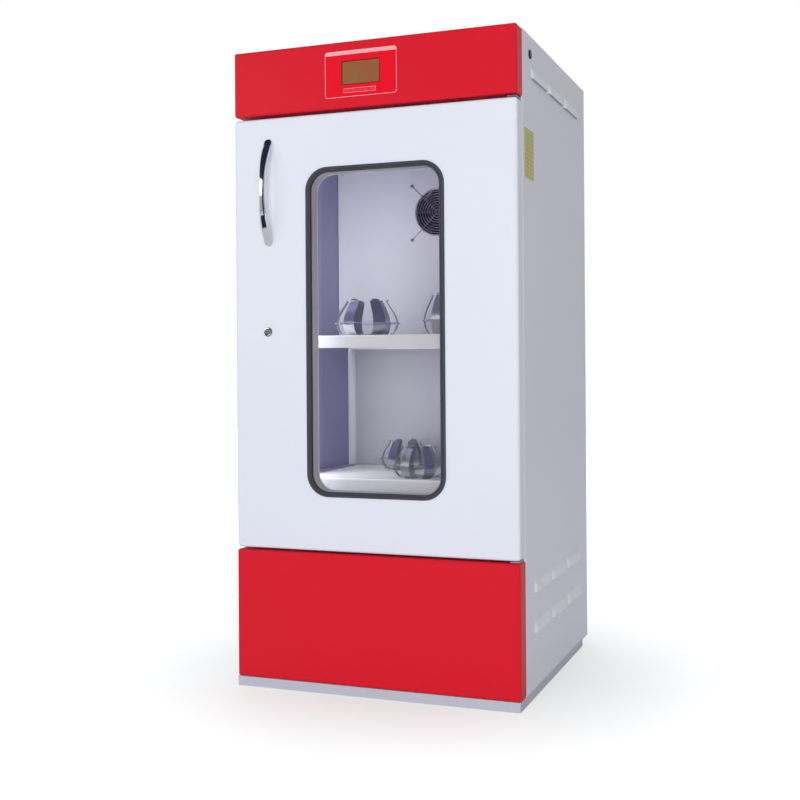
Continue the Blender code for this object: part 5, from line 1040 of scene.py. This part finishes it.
def handle_piece():
    """The bow's flat sections, from the lower end to the upper end, and its two studs."""
    half = (HANDLE_HIGH.z - HANDLE_LOW.z) / 2
    half_width = (HANDLE_HIGH.x - HANDLE_LOW.x) / 2
    base = skin_front - 0.0003
    rise = base - HANDLE_LOW.y - HANDLE_THICK
    arch = half - HANDLE_FOOT
    line = []
    for step in range(HANDLE_STEPS + 1):
        z = -half * math.cos(math.pi * step / HANDLE_STEPS)
        out = rise * (1 - abs(z / arch) ** HANDLE_BOW) if abs(z) < arch else 0.0
        line.append(Vector((z, out)))
    bm = bmesh.new()
    rows = []
    for index, point in enumerate(line):
        z, out = point
        along = (line[min(index + 1, HANDLE_STEPS)] - line[max(index - 1, 0)]).normalized()
        share = 1 - (1 - HANDLE_WAIST) * (1 - min(abs(z) / arch, 1) ** 2) ** 2
        end = math.sqrt(max(0.0, 1 - max(0.0, (abs(z) - half + half_width) / half_width) ** 2))
        wide = half_width * share * max(end, 0.02)
        taper = 1 - 0.85 * max(0.0, (abs(z) - arch) / HANDLE_FOOT)
        thick = HANDLE_THICK / 2 * taper * (0.4 + 0.6 * min(1, 3 * end))
        row = []
        for side in range(HANDLE_SIDES):
            turn = 2 * math.pi * side / HANDLE_SIDES
            across = math.copysign(abs(math.cos(turn)) ** HANDLE_EDGE, math.cos(turn)) * wide
            over = math.copysign(abs(math.sin(turn)) ** HANDLE_EDGE, math.sin(turn)) * thick
            y = base - thick - out - over * along.x
            row.append(bm.verts.new((HANDLE_MIDDLE.x + across, y, HANDLE_MIDDLE.z + z - over * along.y)))
        rows.append(row)
    bridge(bm, rows, True)
    bm.faces.new(rows[0])
    bm.faces.new(rows[-1])
    bmesh.ops.recalc_face_normals(bm, faces=bm.faces)
    piece = link_piece("chrome_bow_handle", bm)
    studs = []
    for z in (-half + STUD_INSET, half - STUD_INSET):
        place = Vector((HANDLE_MIDDLE.x, base - 0.003, HANDLE_MIDDLE.z + z))
        studs.append(rod("handle_stud", place, place + Vector((0, STUD[1], 0)), STUD[0], 20))
    return weld(piece, *studs)


fit(smooth(handle_piece(), 40), "door", chrome, "chrome", "door_handle")


# Cam lock. A chrome ring and a steel cylinder with a key slot, whose cam swings into a slot in
# the chamber's wall.
steel = Finish("brushed_stainless_steel", (0.60, 0.60, 0.63), 0.34, 1.0)
grain = steel.noise(0.0016, 3, (1, 1, 0.05))
steel.set("Roughness", grain * 0.22 + 0.20)
steel.bump(grain, 0.00002)
steel.cloud(0.20, 0.04, 2)

lock_place = Vector((LOCK_MIDDLE.x, skin_front, LOCK_MIDDLE.z))
lock = turned(
    "lock_body_ring",
    [(0.0063, 0.0020), (0.0070, 0.0022), (0.0092, 0.0022), (0.0101, 0.0017), (0.0105, 0.0010),
     (0.0105, 0.0003), (0.0085, 0.0003), (0.0085, skin_front - LOCK_HIGH.y),
     (0.0063, skin_front - LOCK_HIGH.y), (0.0063, 0.0020)],
    lock_place, (0, -1, 0),
)
fit(smooth(lock), "door", chrome, "chrome", "lock_body")
refined("lock_cylinder", "lock", steel, "stainless", 0.0003, 40)


# Hinges. Bent stainless brackets on the cabinet's face, with pins up and down into the door.
for node in ("upper_hinge_bracket", "lower_hinge_bracket"):
    refined(node, "cabinet", steel, "stainless", 0.0004, 40)


# Chamber. An enamelled steel liner and the air duct's cover at its back, with slots for the
# returning air below and a round opening for the fan.
def chamber_enamel(name, colour):
    enamel = Finish(name, colour, 0.4)
    enamel.cloud(0.12, 0.25, 2)
    enamel.set("Roughness", enamel.noise(0.10, 3) * 0.14 + 0.34)
    enamel.relief(0.012, 1, 0.00003)
    return enamel


# Painted shade and light: the liner and the duct's cover are one enamel, but the liner is painted
# darker, standing in for the shade on the chamber's walls, and the cover paler, standing in for the
# light on the back.
shaded_wall_enamel = chamber_enamel("lavender_chamber_enamel", seen(150, 148, 184))
lit_duct_enamel = chamber_enamel("pale_duct_enamel", seen(181, 181, 189))
refined("chamber_liner", "cabinet", shaded_wall_enamel, "chamber_enamel", 0.0003)

DUCT_LOW, DUCT_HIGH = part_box("air_duct_panel")
GUARD_LOW, GUARD_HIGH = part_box("fan_guard")
FAN_MIDDLE = Vector(((GUARD_LOW.x + GUARD_HIGH.x) / 2, DUCT_LOW.y, (GUARD_LOW.z + GUARD_HIGH.z) / 2))
FAN_OPENING = 0.056
SCREW_OFFSET = 0.067
SCREW_HOLE = 0.0019
PROBE_HOLE = 0.0036
RETURN_SLOT = (0.18, 0.008, 0.0039)  # length, height and end radius
SLOT_BASE, SLOT_PITCH, SLOT_SIDE = 0.0397, 0.016, 0.14
duct = pan("air_duct_cover", DUCT_LOW, DUCT_HIGH, (0, 1, 0), FOLD)
front_back = (DUCT_LOW.y - 0.01, DUCT_LOW.y + 0.01)
through = Vector((0, 0.01, 0))
cuts = [rod("fan_hole", FAN_MIDDLE - through, FAN_MIDDLE + through, FAN_OPENING, 96)]
for x in (-SCREW_OFFSET, SCREW_OFFSET):
    for z in (-SCREW_OFFSET, SCREW_OFFSET):
        place = FAN_MIDDLE + Vector((x, 0, z))
        cuts.append(rod("screw_hole", place - through, place + through, SCREW_HOLE, 12))
probe_low, probe_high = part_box("temperature_probe")
probe_place = (probe_low + probe_high) / 2
cuts.append(rod("probe_hole", (probe_place.x, front_back[0], probe_place.z),
                (probe_place.x, front_back[1], probe_place.z), PROBE_HOLE, 20))
for row in range(3):
    z = DUCT_LOW.z + SLOT_BASE + row * SLOT_PITCH
    for x in (-SLOT_SIDE, SLOT_SIDE):
        slot = outline_box(*RETURN_SLOT, 5, (x, z))
        cuts.append(plate("return_slot", [slot], *front_back))
cut(duct, *cuts)
fit(smooth(duct), "cabinet", lit_duct_enamel, "chamber_enamel", "air_duct_panel")
coat_node(steel, "stainless", "temperature_probe", "ring_heater")


# Fan guard. Nine rings of nickelled wire on four arms, screwed over the fan's opening.
GUARD_RINGS = 9
GUARD_RADIUS = 0.058
GUARD_WIRE = 0.0008
GUARD_STAND = 0.0024  # the rings' middle in front of the duct's cover
GUARD_ARM_SET = 1.35  # the arms behind the rings, in wire radii

guard_wire = Finish("nickelled_guard_wire", (0.76, 0.70, 0.76), 0.40, 1.0)
guard_wire.cloud(0.30, 0.006, 2)


def guard_piece():
    """Rings of wire about the fan's axis, and the arms that carry them."""
    rule = Rule("fan_guard_wires", rings=GUARD_RINGS, radius=GUARD_RADIUS, wire=GUARD_WIRE,
                offset=SCREW_OFFSET, finish=guard_wire)
    size = rule.size
    row = rule.make("MeshLine", None, {"Count": size["rings"], "Offset": (0, 0, 0)})
    circle = rule.make("CurvePrimitiveCircle", None, {"Resolution": 72, "Radius": 1.0})
    number = rule.make("InputIndex")
    share = (number + 1) / size["rings"] * size["radius"]
    scale = rule.vector(share, share, share)
    rings = rule.make("InstanceOnPoints", None, {"Points": row, "Instance": circle, "Scale": scale})
    rings = rule.make("RealizeInstances", None, {0: rings})
    behind = size["wire"] * -GUARD_ARM_SET
    reach = size["offset"] * math.sqrt(2)
    ends = {"Start": rule.vector(0.002, 0.0, behind), "End": rule.vector(reach, 0.0, behind)}
    arm = rule.make("CurvePrimitiveLine", None, ends)
    four = rule.make("MeshLine", None, {"Count": 4, "Offset": (0, 0, 0)})
    turn = rule.vector(0, 0, rule.make("InputIndex") * (math.pi / 2) + math.pi / 4)
    arms = rule.make("InstanceOnPoints", None, {"Points": four, "Instance": arm, "Rotation": turn})
    arms = rule.make("RealizeInstances", None, {0: arms})
    both = rule.make("JoinGeometry", None, {0: rings})
    rule.tree.links.new(arms.socket, both.socket.node.inputs[0])
    section = rule.make("CurvePrimitiveCircle", None, {"Resolution": 8, "Radius": size["wire"]})
    wires = rule.make("CurveToMesh", None, {"Curve": both, "Profile Curve": section, "Fill Caps": True})
    made = rule.piece("fan_guard_wires", wires)
    for vertex in made.data.vertices:
        x, y, z = vertex.co
        vertex.co = (FAN_MIDDLE.x + x, DUCT_LOW.y - GUARD_STAND - z, FAN_MIDDLE.z + y)
    made.data.flip_normals()
    return made


guard = smooth(guard_piece(), 50)
fit(guard, "cabinet", guard_wire, "chrome", "fan_guard")

screw_steel = Finish("zinc_plated_screw", (0.66, 0.66, 0.68), 0.30, 1.0)
screw_steel.cloud(0.35, 0.002, 2)


def screw_head(radius, height):
    """A domed head with a cross recess, that points along -Y from the origin."""
    profile = [(0, height), (radius * 0.45, height * 0.97), (radius * 0.8, height * 0.72),
               (radius * 0.97, height * 0.4), (radius, 0), (0, 0)]
    head = turned("screw_head", profile, (0, 0, 0), (0, -1, 0), 20)
    arm, half = radius * 0.55, radius * 0.11
    cross = [blocks("recess", (-arm, -height * 1.2, -half), (arm, -height * 0.45, half)),
             blocks("recess", (-half, -height * 1.2, -arm), (half, -height * 0.45, arm))]
    return smooth(cut(head, *cross), 40)


def screws(name, body, places, direction, radius=0.0036, height=0.0022):
    """One piece of like screws, set by their places and the way that their heads point."""
    points = bpy.data.meshes.new(name + "_places")
    points.from_pydata([tuple(place) for place in places], [], [])
    marks = stand(name + "_places", points)
    head = screw_head(radius, height)
    turn = Vector((0, -1, 0)).rotation_difference(Vector(direction)).to_euler()
    rule = Rule("screws_" + name, places=marks, head=head, finish=screw_steel)
    at = rule.make("ObjectInfo", None, {"Object": rule.size["places"]}, "Geometry")
    one = rule.make("ObjectInfo", None, {"Object": rule.size["head"]}, "Geometry")
    spin = rule.make("InputIndex") * 0.7
    angle = rule.node("FunctionNodeRotateRotation", {"rotation_space": "LOCAL"}, {
        0: rule.node("FunctionNodeEulerToRotation", None, {0: tuple(turn)}),
        1: rule.node("FunctionNodeEulerToRotation", None, {0: rule.vector(0, spin, 0)}),
    })
    many = rule.make("InstanceOnPoints", None, {"Points": at, "Instance": one, "Rotation": angle})
    made = rule.piece(name, many)
    bpy.data.objects.remove(marks)
    bpy.data.objects.remove(head)
    return fit(made, body, None, "stainless")


guard_screws = [
    FAN_MIDDLE + Vector((x, -0.0022, z))
    for x in (-SCREW_OFFSET, SCREW_OFFSET) for z in (-SCREW_OFFSET, SCREW_OFFSET)
]
screws("fan_guard_screws", "cabinet", guard_screws, (0, -1, 0), 0.0040, 0.0024)


# Circulation fan. A black frame behind the duct's cover, and a seven-blade wheel with swept,
# twisted blades.
low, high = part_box("circulation_fan_impeller")
WHEEL_MIDDLE = (low + high) / 2
WHEEL_RADIUS = 0.067
BLADE_SHEET = 0.0016
ROOT_PITCH, TIP_PITCH = 48, 26


def fan_wheel(name, middle, hub, tip, depth, count, chord, finish):
    """A hub about the Y axis with twisted blades, set round it by a rule."""
    bm = bmesh.new()
    across_steps, out_steps = 8, 9
    grid = []
    for out in range(out_steps):
        share = out / (out_steps - 1)
        radius = hub - 0.002 + (tip - hub + 0.002) * share
        pitch = math.radians(ROOT_PITCH - (ROOT_PITCH - TIP_PITCH) * share)
        row = []
        for across in range(across_steps):
            place = across / (across_steps - 1) - 0.5
            sweep = place * chord * math.cos(pitch) * (0.8 + 0.5 * share)
            lean = place * chord * math.sin(pitch) * 0.75 + 0.0018 * math.cos(place * math.pi)
            turn = sweep / radius
            row.append(bm.verts.new((radius * math.cos(turn), lean, radius * math.sin(turn))))
        grid.append(row)
    bridge(bm, grid)
    blade = thicken(link_piece(name + "_blade", bm), BLADE_SHEET, 0)
    rule = Rule(name + "_blades", blade=blade, blades=count, finish=finish)
    turn = rule.vector(0, rule.make("InputIndex") / rule.size["blades"] * (2 * math.pi), 0)
    blades = rule.piece(name, rule.round_axis(rule.size["blade"], rule.size["blades"], turn))
    bpy.data.objects.remove(blade)
    half = depth / 2
    hub_piece = turned(
        name + "_hub",
        [(0, half), (hub - 0.004, half), (hub - 0.001, half - 0.0012), (hub, half - 0.004),
         (hub, -half), (0, -half)],
        (0, 0, 0), (0, -1, 0),
    )
    weld(blades, hub_piece)
    blades.data.transform(Matrix.Translation(middle))
    return smooth(blades, 35)


fan_plastic = Finish("dark_fan_plastic", seen(60, 52, 66), 0.75, Specular_IOR_Level=0.08)
fan_plastic.relief(0.0008, 1, 0.00002)
fan_plastic.cloud(0.3, 0.02, 3)
wheel = fan_wheel("circulation_fan_wheel", WHEEL_MIDDLE, 0.026, WHEEL_RADIUS, high.y - low.y, 7, 0.026,
                  fan_plastic)
fit(wheel, "circulation_fan", fan_plastic, "black_plastic", "circulation_fan_impeller")
refined("circulation_fan_frame", "cabinet", fan_plastic, "black_plastic", 0.0006)


# Trays. Two pressed steel trays in warm white enamel, upside-down pans with a deep lip, held
# apart by a brace at each side.
tray_enamel = Finish("warm_white_tray_enamel", seen(234, 233, 236), 0.34)
tray_enamel.cloud(0.10, 0.12, 3)
tray_enamel.set("Roughness", tray_enamel.noise(0.06, 3) * 0.12 + 0.24)
tray_enamel.relief(0.010, 1, 0.00003)
for node in ("lower_tray", "upper_tray"):
    low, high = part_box(node)
    tray = pan(node + "_pan", low, high, (0, 0, -1), 0.0045, 0.002)
    fit(smooth(tray), "carriage", tray_enamel, "tray_enamel", node)
# The braces take the liner's darker enamel rather than the trays' white: painted shade.
for node in ("left_tray_brace", "right_tray_brace"):
    refined(node, "carriage", shaded_wall_enamel, "tray_enamel", 0.0003)


# Flask clamps. A steel foot with six petals that bend out round the flask's base and in again
# above it, and a close-wound spring round them. A screw through the foot holds it to the tray.
PETALS = 6
PETAL_SHEET = 0.0015
PETAL_START = 0.25  # place of the first petal, as a share of the step between two
PETAL_PATH = (
    (0.30, 0.012), (0.52, 0.012), (0.76, 0.02), (0.93, 0.14), (1.00, 0.36), (0.90, 0.62),
    (0.68, 0.90), (0.66, 0.955), (0.72, 1.00),
)
CLAMPS = {  # radius over the petals
    "large_flask_clamp": 0.070, "tall_flask_clamp": 0.055, "front_small_flask_clamp": 0.054,
    "rear_small_flask_clamp": 0.054,
}
CLAMP_FOOT = 0.0028
SPRING_PITCH = 0.0024
BETWEEN_TRAYS = 0.6  # a clamp above this height stands on the upper tray


def smooth_path(points, steps):
    """More points on a smooth line through the given ones."""
    padded = [points[0], *points, points[-1]]
    line = []
    for a, b, c, d in zip(padded, padded[1:], padded[2:], padded[3:]):
        a, b, c, d = Vector(a), Vector(b), Vector(c), Vector(d)
        for step in range(steps):
            t = step / steps
            square = (2 * a - 5 * b + 4 * c - d) * t**2
            cube = (3 * b - a - 3 * c + d) * t**3
            line.append(0.5 * (2 * b + (c - a) * t + square + cube))
    line.append(Vector(points[-1]))
    return line


def clamp_piece(name, radius, height):
    """Petals set round the clamp's axis by a rule, on a turned foot."""
    line = smooth_path([(a * radius, b * height) for a, b in PETAL_PATH], 5)
    bm = bmesh.new()
    rows = []
    for index, point in enumerate(line):
        share = index / (len(line) - 1)
        half = radius * (0.17 + 0.07 * math.sin(math.pi * share) - 0.05 * share)
        if share > 0.94:
            half *= 0.8
        rows.append([bm.verts.new((point.x, side * half, point.y)) for side in (-1, -0.5, 0, 0.5, 1)])
    bridge(bm, rows)
    petal = thicken(link_piece(name + "_petal", bm), PETAL_SHEET, 0)
    rule = Rule(name + "_petals", petal=petal, petals=PETALS, finish=steel)
    size = rule.size
    turn = rule.vector(0, 0, (rule.make("InputIndex") + PETAL_START) / size["petals"] * (2 * math.pi))
    petals = rule.piece(name + "_petals", rule.round_axis(size["petal"], size["petals"], turn))
    bpy.data.objects.remove(petal)
    foot = turned(
        name + "_foot",
        [(0, CLAMP_FOOT), (0.46 * radius, CLAMP_FOOT), (0.48 * radius, 0.0020),
         (0.48 * radius, 0), (0, 0)],
        (0, 0, 0), (0, 0, 1), 40,
    )
    return weld(petals, foot)


def spring_piece(name, radius, wire):
    """A close-wound extension spring that runs round the petals in a ring."""
    coil = wire * 0.72
    turns = int(2 * math.pi * radius / SPRING_PITCH)
    rule = Rule(name + "_coil", radius=float(radius), coil=float(coil), turns=turns, finish=chrome)
    size = rule.size
    line = rule.make("CurvePrimitiveCircle", None, {"Resolution": turns * 8, "Radius": 1.0})
    number = rule.make("InputIndex")
    turn = number / (size["turns"] * 8) * (2 * math.pi)
    wind = number / 8 * (2 * math.pi)
    out = size["radius"] + size["coil"] * wind.math("COSINE")
    rise = size["coil"] * wind.math("SINE")
    place = rule.vector(out * turn.math("COSINE"), out * turn.math("SINE"), rise)
    line = rule.make("SetPosition", None, {"Geometry": line, "Position": place})
    section = rule.make("CurvePrimitiveCircle", None, {"Resolution": 5, "Radius": size["coil"] * 0.38})
    wires = rule.make("CurveToMesh", None, {"Curve": line, "Profile Curve": section})
    return rule.piece(name, wires)


for node, radius in CLAMPS.items():
    low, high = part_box(node)
    ring_low, ring_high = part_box(node + "_spring")
    tray_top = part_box("upper_tray" if low.z > BETWEEN_TRAYS else "lower_tray")[1].z + 0.0003
    place = Vector(((ring_low.x + ring_high.x) / 2, (ring_low.y + ring_high.y) / 2, tray_top))
    wire = (ring_high.z - ring_low.z) / 2
    height = high.z - tray_top - 0.0008
    clamp = clamp_piece(node + "_steel", radius, height)
    clamp.data.transform(Matrix.Translation(place))
    soften(clamp, 0.0003, 40, 1)
    fit(clamp, "carriage", steel, "stainless", node)
    spring = spring_piece(node + "_coil_spring", (ring_high.x - ring_low.x) / 2 - wire, wire)
    spring.data.transform(Matrix.Translation((place.x, place.y, (ring_low.z + ring_high.z) / 2)))
    fit(smooth(spring, 60), "carriage", None, "chrome", node + "_spring")
    screws(node + "_screw", "carriage", [place + Vector((0, 0, CLAMP_FOOT))], (0, 0, 1), 0.0052, 0.0028)


# Orbital drive. Turned and milled steel: the main crank with its counterweight, three idler
# cranks in pedestals of the deck, and the carriage frame that they carry round.
machined = Finish("machined_steel", (0.46, 0.46, 0.48), 0.32, 1.0)
cutter_marks = machined.noise(0.0010, 2, (1, 0.06, 1))
machined.set("Roughness", cutter_marks * 0.24 + 0.22)
machined.bump(cutter_marks, 0.00002)
machined.cloud(0.25, 0.03, 3)
for node, body in (
    ("carriage_frame", "carriage"), ("main_crankshaft", "crankshaft"), ("motor_pulley", "motor_rotor"),
    ("left_idler_crank", "left_idler"), ("right_idler_crank", "right_idler"),
    ("front_idler_crank", "front_idler"),
):
    refined(node, body, machined, "machined_steel", 0.0004, 40)

casting = Finish("painted_casting", seen(72, 76, 80), 0.55)
casting.relief(0.0022, 4, 0.0003)
casting.cloud(0.3, 0.02, 3)
refined("main_bearing_housing", "cabinet", casting, "cast_iron", 0.0004, 40)
refined("drive_deck", "cabinet", grey_coat, "grey_paint", 0.0003, 40)

aluminium = Finish("mill_finish_aluminium", (0.72, 0.72, 0.74), 0.34, 1.0)
streaks = aluminium.noise(0.0012, 3, (0.05, 1, 1))
aluminium.set("Roughness", streaks * 0.25 + 0.25)
aluminium.bump(streaks, 0.00002)
aluminium.cloud(0.18, 0.03, 2)
refined("main_pulley", "crankshaft", aluminium, "aluminium", 0.0004, 40)
coat_node(aluminium, "aluminium", "evaporator_coil", "condenser_coil")

motor_paint = Finish("grey_machine_paint", seen(124, 132, 142), 0.45)
motor_paint.relief(0.003, 2, 0.00008)
motor_paint.cloud(0.2, 0.03, 3)
refined("drive_motor", "cabinet", motor_paint, "motor_paint", 0.0004, 40)
belt_rubber = Finish("drive_belt_rubber", seen(36, 36, 38), 0.75)
belt_rubber.relief(0.0015, 2, 0.0002)
belt_rubber.cloud(0.3, 0.01, 3)
refined("drive_belt", "cabinet", belt_rubber, "black_rubber", 0.0004, 40)


# Cooling unit. A black hermetic compressor, and the condenser with its fan at the rear.
machine_black = Finish("black_machine_enamel", seen(38, 38, 40), 0.32, Coat_Weight=0.3)
machine_black.relief(0.004, 2, 0.00008)
machine_black.cloud(0.3, 0.04, 3)
refined("refrigerant_compressor", "cabinet", machine_black, "machine_black", 0.0006, 40)
low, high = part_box("condenser_fan_blades")
wheel = fan_wheel("condenser_fan_wheel", (low + high) / 2, 0.022, 0.080, 0.018, 5, 0.034, machine_black)
fit(wheel, "condenser_fan", machine_black, "machine_black", "condenser_fan_blades")


# Mains inlet. A moulded appliance inlet in the rear panel. Its cord isn't shown.
refined("mains_inlet", "cabinet", black_plastic, "black_plastic", 0.0005)


# Rating plate. A bare olive-yellow plate on the right side, with its rows ruled and empty.
PLATE_PLACE = (-0.2175, 1.147)
PLATE_SIZE = (0.075, 0.104)
PLATE_SHEET = 0.0006
PLATE_ROW = 0.0088
PLATE_ROW_LINE = 0.10  # share of a row that its line takes
PLATE_COLUMN = 0.016  # the upright line, from the plate's middle
plate_print = Finish("olive_plate_print", seen(204, 200, 128), 0.45)
_, y, z = plate_print.axes(plate_print.place)
rules = (z / PLATE_ROW).math("FRACT") < PLATE_ROW_LINE
side_rule = (y - PLATE_PLACE[0] + PLATE_COLUMN).math("ABSOLUTE") < 0.0005
ruled = rules.math("MAXIMUM", side_rule) * 0.5
aged = plate_print.mix(plate_print.noise(0.03, 3), seen(208, 204, 130), seen(190, 184, 108))
plate_print.set("Base Color", plate_print.mix(ruled, aged, seen(120, 112, 66)))
label = plate("rating_plate", [outline_box(*PLATE_SIZE, 0.002, 4, (0, 0))], 0, PLATE_SHEET, 0.0001)
to_side = Matrix.Translation((SIDE_FACE + PLATE_SHEET, *PLATE_PLACE))
label.data.transform(to_side @ Matrix.Rotation(math.pi / 2, 4, "Z"))
fit(smooth(label), "cabinet", plate_print, "overlay_film")


# Sheet screws. Zinc plated cross-head screws down both sides of the rear panel and of the duct's
# cover, and one at each side of the mains inlet.
REAR_ROWS = (0.045, 0.36, 0.68, 1.0, 1.32, 1.385)
REAR_INSET = 0.012
DUCT_INSET = (0.014, 0.020)
INLET_INSET = 0.0045

REAR_LOW, REAR_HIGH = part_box("rear_panel")
rear_places = [
    (x, REAR_HIGH.y, z)
    for z in REAR_ROWS for x in (REAR_LOW.x + REAR_INSET, REAR_HIGH.x - REAR_INSET)
]
screws("rear_panel_screws", "cabinet", rear_places, (0, 1, 0), 0.0048, 0.0015)
duct_places = [
    (x, DUCT_LOW.y, z)
    for x in (DUCT_LOW.x + DUCT_INSET[0], DUCT_HIGH.x - DUCT_INSET[0])
    for z in (DUCT_LOW.z + DUCT_INSET[1], (DUCT_LOW.z + DUCT_HIGH.z) / 2, DUCT_HIGH.z - DUCT_INSET[1])
]
screws("duct_cover_screws", "cabinet", duct_places, (0, -1, 0))
low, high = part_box("mains_inlet")
inlet_places = [(x, high.y, (low.z + high.z) / 2) for x in (low.x + INLET_INSET, high.x - INLET_INSET)]
screws("inlet_screws", "cabinet", inlet_places, (0, 1, 0), 0.0024, 0.0004)
